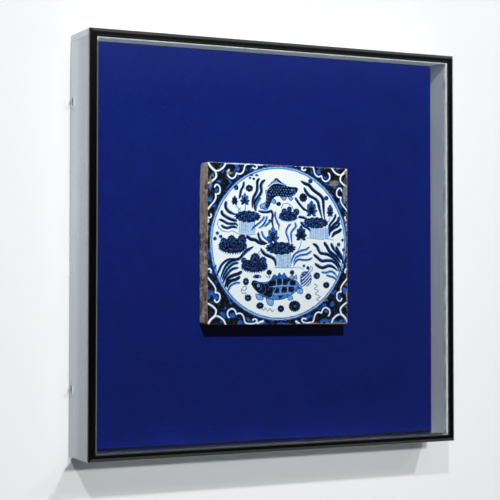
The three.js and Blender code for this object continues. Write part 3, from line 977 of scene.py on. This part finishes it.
def paint_leaves():
    """The dark weed beds and the floating leaves."""
    for x, z, rx, rz in ((-47.4, 40, 19.5, 7.8), (3.5, -3, 23, 8.5), (59, 33, 19.5, 7.5)):
        pad(x, z, rx * 1.04, rz * 1.06, 15, 0.13)
        for i in range(13):
            turn = math.radians(27.7 * i + 15)
            reach = 0.78 if i % 2 else 0.42
            nick(x + math.cos(turn) * rx * reach, z + math.sin(turn) * rz * reach, 1.6, -0.9, 0.7, -0.7)
    leaf(-70, 0, 22, 10.5, [(-84, 6, 5), (-72, 8.5, 6), (-56, 8.5, 7)])
    leaf(-37, -27, 20.5, 9, [(-53, -20.5, 4.5), (-36, -17, 7.5), (-24, -20, 5.5)])
    leaf(15, 42, 14.5, 7, [(9, 48, 4.5), (17, 51, 4), (28, 47.5, 5)])


def paint_flowers():
    for flower in (
        (-51.9, 59, 15, 13, 0.42, 0.85),
        (-67.3, 58, 10, 10, 0.6, 0.98),
        (52, 46, 19, 18, 0.5, 0.95),
        (82, 45, 11, 14, 0.5, 0.85),
        (-8.7, 8, 20, 19, 0.46, 0.85),
        (35.5, 12, 19, 17, 0.62, 1.0),
    ):
        lotus(*flower)
    for stem in (
        [(-51.9, 59), (-51, 53), (-52, 47)],
        [(-67.3, 58), (-63, 52), (-58, 47)],
        [(52, 46), (50, 42)],
        [(82, 45), (81, 38), (77, 33)],
        [(35.5, 11), (35, 2), (30, -6)],
        [(-8.7, 8), (-6, 4)],
    ):
        brush(stem, 1.1, 0.5, start=0.02, end=0.1)


def paint_dots():
    """Duckweed and florets, most of them dark with a pale drop in the middle."""
    for x, z, rx, rz, drop in (
        (-65, 78.9, 3.4, 3.4, 0.25), (-45.1, 78.6, 5.5, 4.6, 0.4), (38.9, 67.8, 6, 6, 0.9),
        (75.8, 67.8, 3.3, 3, 0.3), (0.3, 58.2, 3.6, 2.8, 0.9), (-93.4, 16.7, 2.3, 2.3, 0.7),
        (-88.3, 12.2, 2.6, 2.2, 0.7), (-96.8, 9.3, 2.6, 2.6, 0.7), (102, 9.3, 2, 2, 0.5),
        (95.7, 2.9, 2.7, 2.7, 0.7), (103.7, -4.5, 2.3, 2.3, 0.45), (40, -27.3, 2, 2, 0.7),
        (46.3, -30, 2.6, 2.4, 0.7), (-50.2, -48.8, 4.6, 5, 0.35), (-46.8, -71, 5, 4.6, 0.35),
        (-28.6, -81.8, 5.6, 4.4, 0.35), (3.7, -86.3, 5, 4.6, 0.45), (25.3, -82.9, 9, 7.6, 0.5),
        (60.5, -40.9, 5, 4.6, 0.4), (75.8, -54, 5, 4.4, 0.4), (46.9, -69.9, 4.8, 4.4, 0.35),
        (-14.4, -36.3, 4, 3.6, 0.95), (21.3, -36.3, 3.4, 3.2, 0.7), (-41.7, 96.8, 2.4, 1.5, 0.9),
        (-33.7, 96.8, 2.6, 1.5, 0.9), (-44, 92.8, 2, 1.6, 0.9), (-38.3, 91.7, 2.2, 1.6, 0.9),
        (50.3, 91.1, 3.4, 3, 0.5), (-14, 35, 1.8, 1.6, 0.9),
    ):
        pad(x, z, rx * 1.06, rz * 1.06, 9 if rx < 8 else 16, 0.16, 0.85 + 0.15 * (rx > 3), 0.8, 0.3)
        heart(x, z, min(rx, rz) * 0.24, drop)
    wash([(-40, -42.5), (-36, -39.6), (-30, -39.8), (-26, -42), (-30, -44), (-36, -44.4)], 0.2, 0.9)
    pad(-33.5, -42, 3.6, 1.7, 8, 0.1)
    for curl in (
        [(-56, -58), (-52, -55), (-49, -58), (-53, -61), (-57, -59), (-55, -65), (-50, -64), (-52, -70)],
        [(-26, -84), (-23, -88), (-20, -85), (-17, -89), (-13, -86), (-10, -90), (-6, -87)],
        [(56, -52), (61, -55), (57, -59), (63, -62), (58, -66), (66, -70), (60, -74), (68, -77)],
        [(-20, -40), (-17, -43), (-13, -41), (-15, -46)],
        [(50, -27), (54, -31), (51, -35)],
        [(-92, 35), (-93, 28), (-89, 22), (-83, 19)],
        [(4, 52), (8, 58), (15, 59), (21, 55), (24, 49)],
        [(-27, -13), (-31, -9), (-27, -6)],
        [(-58, 52), (-62, 47), (-57, 44)],
    ):
        brush(curl, 1.0, 0.5, start=0.05, end=0.1)


def paint_upper_fish():
    """A dark carp with a hatched back fin, its tail bent down to the left."""
    wash([(-21, 76), (-19, 66), (-21, 56), (-24, 50), (-17, 50), (-13, 58), (-12, 68), (-14, 78)], 0.36, 0.5)
    wash([(-17, 82), (-9, 89), (-3, 93.5), (4, 88.5), (12, 84), (-2, 83)], 0.2, 0.85, mottle=0.3)
    brush([(-6, 90.5), (-3, 92.5), (1, 89.5), (8, 85)], 2.4, 0.95, start=0.05)
    for i in range(7):
        x = -10 + 2.4 * i
        brush([(x, 85), (x - 1.6, 88 + 3 * math.sin(i * 0.5))], 0.9, 0.8, start=0.05)
    body = [
        (-17.8, 74), (-12, 83.5), (-2, 86), (9.4, 83.8), (20.7, 82), (28.7, 81.5), (30.4, 78.6), (27.5, 73.5),
        (21.9, 69.5), (9.4, 68.4), (-2, 69), (-10, 64), (-14, 55), (-19, 52), (-19.5, 62),
    ]
    wash(body, 0.95, 1.0, heap=0.5)
    reserve([(-16, 79.5), (-10, 84.8), (-2, 87.2), (6, 85.6)], 1.0)
    for row in range(4):
        for i in range(10):
            x, z = -13.6 + 4.2 * i + 2.1 * (row % 2), 71 + 3.6 * row
            if z < 84.3 - 0.14 * abs(x + 2):
                heart(x + 0.8 * noise.noise((z, x, 5)), z + noise.noise((x, z, 5)), 0.85, 0.26)
    for i in range(5):
        x = -14.6 - 0.8 * i
        heart(x - 1.7, 71 - 4.2 * i, 0.9, 0.26)
        heart(x + 1.1, 69 - 4 * i, 0.7, 0.34)
    tint([(15, 69.8), (21, 70.6), (27, 74.6)], 1.2, 0.5)
    heart(21.3, 77.8, 1.5, 0.12)
    pad(21.3, 77.8, 0.8, 0.8, 4, 0)
    brush([(28, 74.5), (24, 75.2), (20, 73)], 1.0, 0.55)
    for fin in (
        [(2, 68.5), (8, 63), (13, 66), (12, 68.5)],
        [(14, 68.5), (19, 62.7), (23, 66), (20, 69)],
        [(-20, 60), (-29, 56), (-27, 51), (-19, 53)],
        [(-12, 60), (-5, 58), (-4, 63), (-10, 66)],
    ):
        wash(fin, 0.3, 0.75)


def paint_lower_fish():
    """A large carp with a dark head and dark brown plates in a blue net on its side."""
    back_fin = [(-12, -46), (-7, -39), (-2, -41), (1, -36.5), (5, -40), (9, -36.5), (12, -41), (16, -46)]
    wash(back_fin, 0.55, 0.8)
    for x in (-4.5, 2, 8.5, 13.5):
        brush([(x, -38), (x, -44)], 1.6, 0.1)
    wash([(14, -46), (20, -40), (24, -41), (23, -47)], 0.34, 0.55)
    body = [
        (-42, -52), (-38, -47), (-28, -49.5), (-18, -49), (-8, -45), (6, -44), (20, -45), (30, -49),
        (33, -56), (27, -63), (18, -69), (6, -73.5), (-8, -74), (-20, -71), (-32, -64),
    ]
    wash(body, 0.46, 0.7, mottle=0.2)
    wash([(-34, -66), (-20, -71), (-4, -74), (10, -72), (20, -68), (6, -70), (-14, -68)], 0.3, 0.5)
    head = [
        (-42, -52), (-39, -47.5), (-30, -50), (-20, -52), (-12, -48), (-9, -55), (-10, -68), (-16, -70),
        (-25, -66), (-36, -60),
    ]
    wash(head, 0.96, 1.0, heap=0.8, mottle=0.15)
    for x, z, rx, rz in (
        (-8, -50.5, 4.6, 4.3), (1.4, -49.5, 4.4, 4.3), (10.6, -49.5, 4.4, 4.2), (22.5, -50.5, 5, 4.2),
        (16.5, -46.8, 2.2, 2), (-3.4, -60.6, 4.6, 4.3), (3, -69.5, 3, 1.8), (8.6, -60, 4.8, 4.3),
        (20, -59.4, 5, 4.2), (-13, -63, 3.6, 6),
    ):
        pad(x, z, rx, rz, 4, 0.12, 1.0, 1.0, 0.1)
    for net in (
        [(-13, -56), (-4, -55.4), (6, -54.8), (16, -54.8), (27, -55.6)],
        [(-9, -66.4), (0, -66.2), (10, -65.6), (20, -64.8)],
        [(-3.6, -46), (-3.4, -55), (-8.6, -66)],
        [(5.8, -45), (5.6, -54.8), (2.4, -66)],
        [(16, -50), (15, -55), (14.2, -65)],
    ):
        tint(net, 1.1, 0.3)
    for arc in (
        [(-38, -50.5), (-33, -50), (-28, -52.5), (-26.5, -57), (-29, -61)],
        [(-23, -52), (-20, -57), (-21, -63), (-24, -66)],
        [(-17, -51), (-14.5, -56), (-15, -60)],
    ):
        tint(arc, 1.0, 0.48)
    heart(-31, -54.5, 2.0, 0.12)
    pad(-31, -54.5, 0.9, 0.9, 4, 0)
    pad(43, -45, 9.5, 11, 30, 0.05, 0.62, 0, 0.5)
    for i in range(9):
        shift = -10 + 2.5 * i
        bar = [(35 + shift * 0.35, -50 + shift), (43, -45 + shift * 0.7), (51, -38 + shift * 0.8)]
        brush(bar, 0.8, 0.95)
    for shift in (-7, -2.5, 2, 6.5):
        reserve([(37, -52 + shift), (43, -47.5 + shift), (50, -40.5 + shift)], 1.3)
    for fin in (
        [(-36, -65), (-33, -73), (-24, -74), (-25, -68)],
        [(-20, -71), (-17, -80), (-9, -82), (-8, -74)],
        [(13, -68), (16, -75), (23, -73), (20, -68)],
        [(27, -57), (38, -59), (37, -66), (29, -64)],
        [(23, -44), (28, -39), (29, -46)],
    ):
        wash(fin, 0.3, 0.7)


def paint_wear():
    """Where the glaze has flaked to the clay: the right edge, the top edge and a few chips."""
    x, z = spots.T
    right_edge = 110.7 - 0.002 * z - x
    top_edge = 112.2 - 0.0096 * x - z
    left_edge = x + 107.4
    foot_edge = z + 107 - 0.012 * x
    for flaking in (
        2.6 + 5.0 * mottled + 3 * cloudy - right_edge,
        1.1 + 1.6 * mottled - top_edge,
        2.0 * cloudy - 0.4 - left_edge,
        2.4 * cloudy - 0.2 - foot_edge,
    ):
        flaked[:] = np.maximum(flaked, np.clip(flaking / 0.6, 0, 1))
    for chip_x, chip_z, rx, rz in (
        (74, -75, 3.2, 2), (88, 89, 9, 4), (-104, 85, 2.5, 9), (-76, 99, 5, 3), (106, 75, 3, 14),
    ):
        far = np.hypot((x - chip_x) / rx, (z - chip_z) / rz) + 0.9 * mottled
        flaked[:] = np.maximum(flaked, 0.85 * np.clip((1 - far) / 0.3, 0, 1))


paint_corners()
paint_ring()
paint_reeds()
paint_weeds()
paint_flowers()
paint_leaves()
paint_dots()
paint_upper_fish()
paint_lower_fish()
paint_wear()


def painted_glaze():
    material, tree = new_material("white glaze painted in cobalt")
    colour_here, heap_here, flake_here = (
        add(tree, "ShaderNodeAttribute", attribute_name=layer).outputs["Fac"]
        for layer in ("cobalt", "heaped", "flaked")
    )
    pool = noisy(tree, own_place(tree), 420, 4)
    grit = noisy(tree, own_place(tree), 400, 3, Roughness=0.6)
    pooled = maths(tree, "MULTIPLY", ranged(tree, pool, 0.3, 0.7, 0.82, 1.16), colour_here)
    ramp = add(tree, "ShaderNodeValToRGB", {"Fac": pooled})
    steps = ramp.color_ramp.elements
    steps[0].position = 0.0
    steps[0].color = glaze_white
    steps[1].position = 1.0
    steps[1].color = cobalt_black
    for share, tone in cobalt_tones:
        steps.new(share).color = tone
    rust = maths(tree, "MULTIPLY", ranged(tree, grit, 0.56, 0.66, 0, 0.85), heap_here)
    fired_colour = blended(tree, rust, ramp.outputs[0], rust_brown)
    stained = blended(tree, ranged(tree, grit, 0.40, 0.62, 0, 1), clay_bare, clay_stained)
    colour = blended(tree, flake_here, fired_colour, stained)
    ripple = noisy(tree, own_place(tree), 130)
    height = maths(tree, "ADD", ripple, heap_here)
    bump = bumped(tree, height, 0.12, 0.0006)
    return surface(material, {
        "Base Color": colour,
        "Roughness": ranged(tree, flake_here, 0, 1, 0.10, 0.8),
        "Normal": bump,
    })


white_glaze = painted_glaze()
glaze = place_piece("tile_painted_glaze", glaze_shape, [white_glaze], ["tile"], smooth=True)
for name, values in (("cobalt", cobalt), ("heaped", heaped), ("flaked", flaked)):
    layer = glaze.data.attributes.new(name, "FLOAT", "POINT")
    layer.data.foreach_set("value", values.astype(np.float32))


# The fillets and the clear front
# Pale strips glued into the corner between walls and pane, and a 5 mm clear acrylic sheet glued
# over the front of the box. The sheet's sawn edges are pale and dull.

fillet_pale = (0.66, 0.69, 0.69, 1)
fillet_dust_and_shade = (0.020, 0.023, 0.034, 1)
sawn_pale = (0.42, 0.45, 0.46, 1)
sawn_bright = (0.50, 0.53, 0.54, 1)
pane_edge = 0.0004


def pale_strip(name, tone):
    material, tree = new_material(name)
    cloud = noisy(tree, own_place(tree), 60, 3)
    colour = blended(tree, ranged(tree, cloud, 0.3, 0.7, 0, 0.5), tone, fillet_dust_and_shade)
    return surface(material, {"Base Color": colour, "Roughness": 0.5})


def clear_acrylic():
    """Clear sheet that lets the lamps' light straight through to what lies behind it."""
    material, tree = new_material("clear acrylic")
    ray = add(tree, "ShaderNodeLightPath")
    haze = noisy(tree, own_place(tree), 5)
    sheet = add(
        tree,
        "ShaderNodeBsdfPrincipled",
        {
            "Base Color": (1, 1, 1, 1),
            "Roughness": ranged(tree, haze, 0.3, 0.7, 0.0, 0.012),
            "IOR": 1.45,
            "Transmission Weight": 1,
        },
    )
    clear = add(tree, "ShaderNodeBsdfTransparent")
    past = maths(tree, "MAXIMUM", ray.outputs["Is Shadow Ray"], ray.outputs["Is Diffuse Ray"])
    mix = add(tree, "ShaderNodeMixShader", {0: past, 1: sheet.outputs[0], 2: clear.outputs[0]})
    return show(material, mix)


def sawn_edge():
    material, tree = new_material("sawn acrylic edge")
    marks = noisy(tree, own_place(tree, (900, 60, 900)), 1)
    return surface(material, {"Base Color": blended(tree, marks, sawn_pale, sawn_bright), "Roughness": 0.42})


pale_fillets = ["pane_fillet_top", "pane_fillet_left", "pane_fillet_right"]
dress(pale_fillets, pale_strip("pale grey strip", fillet_pale))
# Painted shade: the bottom strip is made near-black.
dress(["pane_fillet_bottom"], pale_strip("near-black strip, painted shade", fillet_dust_and_shade))
pane = copy_of("front_pane")
break_edges(pane, pane_edge, 1)
for face in pane.faces:
    face.material_index = int(abs(face.normal.y) < 0.5)
place_piece("front_pane_sheet", pane, [clear_acrylic(), sawn_edge()], ["front_pane"])


# The black moulding
# Four lengths of moulding in satin black lacquer, flat inside and falling away toward the
# outside, mitred at the corners and glued on the front of the pane, flush with its edges.

rail_slope = 0.0036
rail_drop = 0.0021
rail_round = 0.0010
rail_steps = 4
rail_crease = math.radians(35)
rail_flat = 0.001
rail_black = (0.0008, 0.0009, 0.0010, 1)
rail_worn = (0.0018, 0.0019, 0.0021, 1)


def black_lacquer(name, scale):
    material, tree = new_material(name)
    streaks, patches = brushed(tree, scale, 30.0)
    bump = bumped(tree, streaks, 0.05, 0.0004)
    return surface(material, {
        "Base Color": blended(tree, patches, rail_black, rail_worn),
        "Roughness": ranged(tree, streaks, 0.3, 0.7, 0.13, 0.19),
        "Specular IOR Level": 0.85,
        "Normal": bump,
    })


def moulding_length(side):
    """One length: sloped off toward the outside, its long edges rounded and its ends mitred."""
    low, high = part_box("front_moulding_" + side)
    size = high - low
    middle = (low + high) / 2
    rail = bmesh.new()
    add_block(rail, middle, size)
    run = 0 if size.x > size.z else 2
    across = 2 - run
    outward = math.copysign(1, middle[across])
    outer_edge = middle.copy()
    outer_edge[across] += outward * size[across] / 2
    outer_edge.y = low.y + rail_drop
    away = Vector((0, -rail_slope, 0))
    away[across] = outward * rail_drop
    saw(rail, outer_edge, away)
    long_edges = [
        e
        for e in rail.edges
        if all(v.co.y < low.y + rail_drop + 1e-6 for v in e.verts)
        and abs(e.verts[0].co[run] - e.verts[1].co[run]) > size[run] / 2
    ]
    round_edges(rail, long_edges, rail_round, rail_steps)
    for end in (-1, 1):
        corner = Vector((0, 0, 0))
        corner[run] = middle[run] + end * size[run] / 2
        corner[across] = middle[across] + outward * size[across] / 2
        mitre = Vector((0, 0, 0))
        mitre[run] = end
        mitre[across] = -outward
        saw(rail, corner, mitre)
    bmesh.ops.recalc_face_normals(rail, faces=rail.faces)
    for edge in rail.edges:
        beside_flat = any(face.calc_area() > size[run] * rail_flat for face in edge.link_faces)
        edge.smooth = edge.calc_face_angle(0) < rail_crease and not beside_flat
    return rail


upright_black = black_lacquer("black lacquer, upright", (900, 900, 14))
level_black = black_lacquer("black lacquer, level", (14, 900, 900))
for side in ("top", "right", "bottom", "left"):
    lacquer = level_black if side in ("top", "bottom") else upright_black
    name = "front_moulding_" + side
    place_piece(name + "_rail", moulding_length(side), [lacquer], [name], smooth=True)


# The bead of glue
# A fine line of pale set glue, squeezed out along the inner edge of the moulding on the pane.
# It is black next to the rail at the top and the left, and painted shade darkens it at the foot and the left.

bead_wide = 0.0012
bead_spread = 0.0012
bead_run = 0.0019
bead_high = 0.0006
bead_pale_reach = (0.262, 0.266)
bead_pale = (0.86, 0.89, 0.86, 1)
bead_shaded = (0.085, 0.09, 0.085, 1)
bead_blackened = (0.002, 0.002, 0.002, 1)
bead_blur = 0.0001


def glue_bead():
    """A thin square loop: a flat frame drawn up from the pane, with its edges rounded."""
    low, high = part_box("front_moulding_top")
    wide = high.z - low.z
    pane_low, pane_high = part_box("front_pane")
    inner_x = pane_high.x - wide
    inner_z = pane_high.z - wide
    bead = bmesh.new()
    bmesh.ops.create_grid(bead, x_segments=1, y_segments=1, size=1)
    for vertex in bead.verts:
        vertex.co = (vertex.co.x * inner_x, pane_low.y, vertex.co.y * inner_z)
    bead.normal_update()
    middle = bead.faces[:]
    bmesh.ops.inset_region(bead, faces=middle, thickness=bead_wide, use_boundary=True, use_even_offset=True)
    bmesh.ops.delete(bead, geom=middle, context="FACES")
    for vertex in bead.verts:
        if abs(vertex.co.x) < inner_x - bead_wide / 2:
            vertex.co.x += bead_run if vertex.co.x < 0 else -bead_spread
            if vertex.co.z > 0:
                vertex.co.z -= bead_spread
    raised = bmesh.ops.extrude_face_region(bead, geom=bead.faces[:])["geom"]
    lifted = [v for v in raised if isinstance(v, bmesh.types.BMVert)]
    bmesh.ops.translate(bead, vec=(0, -bead_high, 0), verts=lifted)
    tops = [v for v in bead.verts if v.co.y < pane_low.y - bead_high / 2]
    free = {v for v in tops if abs(v.co.x) < inner_x - 1e-5 and abs(v.co.z) < inner_z - 1e-5}
    round_edges(bead, [e for e in bead.edges if free.issuperset(e.verts)], bead_high * 0.8, 3)
    bmesh.ops.recalc_face_normals(bead, faces=bead.faces)
    return bead


def set_glue():
    material, tree = new_material("pale set glue")
    uneven = noisy(tree, own_place(tree), 90, 3)
    across, _, up = apart(tree, own_place(tree))
    # Painted shade: paler at the right and the top, dark at the foot and the left.
    right = ranged(tree, across, *bead_pale_reach, 0, 0.42)
    top = ranged(tree, up, *bead_pale_reach, 0, 0.75)
    lit_side = maths(tree, "MAXIMUM", right, top)
    worn = maths(tree, "MULTIPLY", lit_side, ranged(tree, uneven, 0.3, 0.7, 1.0, 0.75))
    low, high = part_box("front_moulding_top")
    inner_z = low.z - bead_spread
    inner_x = high.x - (high.z - low.z) - bead_run
    over_top = ranged(tree, up, inner_z - bead_blur, inner_z + bead_blur, 0, 1)
    over_left = ranged(tree, across, bead_blur - inner_x, -bead_blur - inner_x, 0, 1)
    blackened = maths(tree, "MAXIMUM", over_top, over_left)
    glue_tone = blended(tree, worn, bead_shaded, bead_pale)
    colour = blended(tree, blackened, glue_tone, bead_blackened)
    return surface(material, {"Base Color": colour, "Roughness": 0.55, "Specular IOR Level": 0.2})


place_piece("glue_bead", glue_bead(), [set_glue()], ())


# The wall that the box hangs on, and the floor
# A plain painted wall at the back of the box and a pale floor a long way below, which throws no
# light back. Both are see-through from behind, so that the back of the box can be looked at.

wall_white = (0.80, 0.81, 0.82, 1)
wall_patchy = (0.79, 0.805, 0.82, 1)
floor_grey = (0.50, 0.51, 0.52, 1)
floor_patchy = (0.46, 0.47, 0.48, 1)
floor_seen = (0.90, 0.91, 0.92, 1)
floor_glow = 0.9
wall_gap = 0.0015
floor_height = -1.5
room_reach = 5.0


def painted_plaster(name, glow, white, patchy):
    """A plain pale surface, seen from its front only. The glow keeps a far floor pale to the eye."""
    material, tree = new_material(name)
    cloud = noisy(tree, own_place(tree), 3)
    face = add(tree, "ShaderNodeBsdfDiffuse", {"Color": blended(tree, cloud, white, patchy)})
    ray = add(tree, "ShaderNodeLightPath")
    share = maths(tree, "MULTIPLY", ray.outputs["Is Camera Ray"], glow)
    pale = add(tree, "ShaderNodeEmission", {"Color": floor_seen, "Strength": 1})
    shown = add(tree, "ShaderNodeMixShader", {0: share, 1: face.outputs[0], 2: pale.outputs[0]})
    clear = add(tree, "ShaderNodeBsdfTransparent")
    behind = add(tree, "ShaderNodeNewGeometry").outputs["Backfacing"]
    past = maths(tree, "MAXIMUM", ray.outputs["Is Shadow Ray"], behind)
    if glow:
        past = maths(tree, "MAXIMUM", past, ray.outputs["Is Diffuse Ray"])
    mix = add(tree, "ShaderNodeMixShader", {0: past, 1: shown.outputs[0], 2: clear.outputs[0]})
    return show(material, mix)


def room_plane(name, place, material):
    sheet = bmesh.new()
    bmesh.ops.create_grid(sheet, x_segments=8, y_segments=8, size=room_reach, matrix=place)
    return make_object(name, sheet, [material])


stand_wall = Matrix.Translation((0, wall_gap, 0)) @ Matrix.Rotation(quarter, 4, "X")
lie_floor = Matrix.Translation((0, wall_gap - room_reach, floor_height))
wall_paint = painted_plaster("white painted wall", 0.0, wall_white, wall_patchy)
room_wall = room_plane("room_wall", stand_wall, wall_paint)
floor_paint = painted_plaster("pale floor", floor_glow, floor_grey, floor_patchy)
room_floor = room_plane("room_floor", lie_floor, floor_paint)


# The light
# Three lamps high on either side and two in front light the wall and the box, and three cool
# ones lift the box's darker sides. The panel and the tile have two of their own, which the box
# doesn't shade, and one more lamp lights the back.

world_light = 0.03
backdrop_behind = (0.08, 0.4)
backdrop_above = (0.12, 0.55)
backdrop_pale = (0.93, 0.94, 0.95, 1)
world_pale = (0.97, 0.98, 1, 1)
cool_light = (0.86, 1.0, 0.94)
middle_of_box = Vector((0, -0.04, 0))
above_box = Vector((0, 0, 0.9))


def gathered(name, pieces):
    """A named set of pieces that a lamp lights, or that stand in its light."""
    made = bpy.data.collections.new(name)
    for piece in pieces:
        made.objects.link(piece)
    return made


def named(*names):
    return [bpy.data.objects[name] for name in names]


def lamp(name, place, aim, power, size, lit, shade=None):
    """A square lamp turned to its aim, which lights one set and may be shaded by another alone."""
    light = bpy.data.lights.new(name, "AREA")
    light.energy = power
    light.size = size
    made = bpy.data.objects.new(name, light)
    made.location = place
    made.rotation_euler = (Vector(aim) - Vector(place)).to_track_quat("-Z", "Y").to_euler()
    bpy.context.scene.collection.objects.link(made)
    made.light_linking.receiver_collection = lit
    made.light_linking.blocker_collection = shade
    return made


room = [room_wall, room_floor]
tile_pieces = named("tile_clay_body", "tile_painted_glaze")
inner = named("cloth_cover_woven") + tile_pieces
outer = [item for item in bpy.data.objects if item.type == "MESH" and item not in inner + room]
rails = [item for item in outer if item.name.endswith("_rail")]
box_and_clay = named("tile_clay_body") + [item for item in outer if item not in rails]
let_past = named(
    "wall_left_bar", "wall_top_bar", "front_moulding_left_rail", "front_moulding_top_rail", "glue_bead",
    "pane_fillet_left", "pane_fillet_top", "front_pane_sheet",
)
lit_room = gathered("lit by the room's lamps", room)
lit_outer = gathered("lit by the box's lamps", box_and_clay)
no_sheet = [item for item in box_and_clay if item.name != "front_pane_sheet"]
lit_broadly = gathered("lit by the broad lamp", no_sheet)
lit_low = gathered("lit from below", named("wall_top_bar", "pane_fillet_top", "glue_bead"))
lit_under = gathered("lit on the underside", named("wall_bottom_bar"))
lit_right = gathered("lit on the right", named("wall_right_bar", "pane_fillet_right"))
lit_inner = gathered("lit by the panel's lamps", inner)
lit_behind = gathered("lit from behind", outer + inner)
shading_inner = gathered("shade in the panel's light", tile_pieces)
shading_wall = gathered("shade on the wall", [item for item in outer + inner if item not in let_past])
for name, direction, room_power, box_power, shade in (
    ("left", (-0.50, -1, 0.715), 76, 24, None),
    ("right", (0.32, -1, 0.685), 70, 22, shading_wall),
    ("far right", (0.68, -1, 0.60), 20, 5, shading_wall),
):
    far = middle_of_box + 4 * Vector(direction)
    near = middle_of_box + 1.6 * Vector(direction)
    lamp(name + " lamp on the wall", far, middle_of_box, room_power, 0.12, lit_room, shade)
    lamp(name + " lamp on the box", near, above_box, box_power, 0.2, lit_outer)
for name, place, power, size, lit, shade in (
    ("broad lamp on the wall", (-0.3, -4, 1.6), 28, 3, lit_room, shading_wall),
    ("low lamp on the wall", (0.1, -4, 0.77), 77, 0.2, lit_room, shading_wall),
    ("lamp from below", (-0.3, -1.5, -1.1), 24, 0.4, lit_low, None),
    ("lamp under the box", (-0.3, -1.5, -1.1), 12, 0.4, lit_under, None),
    ("lamp on the right side", (-0.9, -1.2, 0.3), 7, 0.3, lit_right, None),
    ("broad lamp on the box", (-0.3, -2.4, 1.3), 24, 2, lit_broadly, None),
):
    made = lamp(name, place, middle_of_box, power, size, lit, shade)
    if lit in (lit_low, lit_under, lit_right):
        made.data.color = cool_light
for name, place, power in (
    ("panel lamp", (-0.5, -1.7, 0.90), 65),
    ("second panel lamp", (0.5, -1.1, 0.85), 2),
):
    lamp(name, place, (0, 0, place[2] + 0.75), power, 0.1, lit_inner, shading_inner)
lamp("back lamp", (0.7, 2.4, 1.3), middle_of_box, 60, 1.6, lit_behind)


def pale_room():
    """A dim room in front. Behind and above, a pale backdrop that metal, lacquer and glass show too."""
    world = bpy.data.worlds.new("pale room")
    world.use_nodes = True
    tree = world.node_tree
    tree.nodes.clear()
    ray = add(tree, "ShaderNodeLightPath")
    _, deep, up = apart(tree, add(tree, "ShaderNodeTexCoord").outputs["Generated"])
    behind = ranged(tree, deep, *backdrop_behind, 0, 1)
    above = ranged(tree, up, *backdrop_above, 0, 1)
    back = maths(tree, "MAXIMUM", behind, above)
    shiny = maths(tree, "MAXIMUM", ray.outputs["Is Glossy Ray"], ray.outputs["Is Transmission Ray"])
    shiny_back = maths(tree, "MULTIPLY", shiny, back)
    shown = maths(tree, "MAXIMUM", ray.outputs["Is Camera Ray"], shiny_back)
    soft = add(tree, "ShaderNodeBackground", {"Color": world_pale, "Strength": world_light})
    seen = add(tree, "ShaderNodeBackground", {"Color": backdrop_pale, "Strength": 1})
    mix = add(tree, "ShaderNodeMixShader", {0: shown, 1: soft.outputs[0], 2: seen.outputs[0]})
    add(tree, "ShaderNodeOutputWorld", {"Surface": mix.outputs[0]})
    bpy.context.scene.world = world


pale_room()


# The camera
# It stands a little below the middle of the box and to its left, and looks slightly up. The
# picture is a part of a wider view, so the lens is shifted sideways and down.

eye = bpy.data.cameras.new("camera")
eye.sensor_width = 36
eye.lens = 100.25
eye.shift_x = 0.0781
eye.shift_y = -0.0456
camera = bpy.data.objects.new("camera", eye)
camera.location = (-0.9018, -1.7586, -0.0317)
camera.rotation_euler = (quarter + 0.0300, 0, -0.4401)
camera.rotation_euler.rotate_axis("Z", 0.0018)
bpy.context.scene.collection.objects.link(camera)
bpy.context.scene.camera = camera
bpy.context.scene.view_settings.view_transform = "Standard"
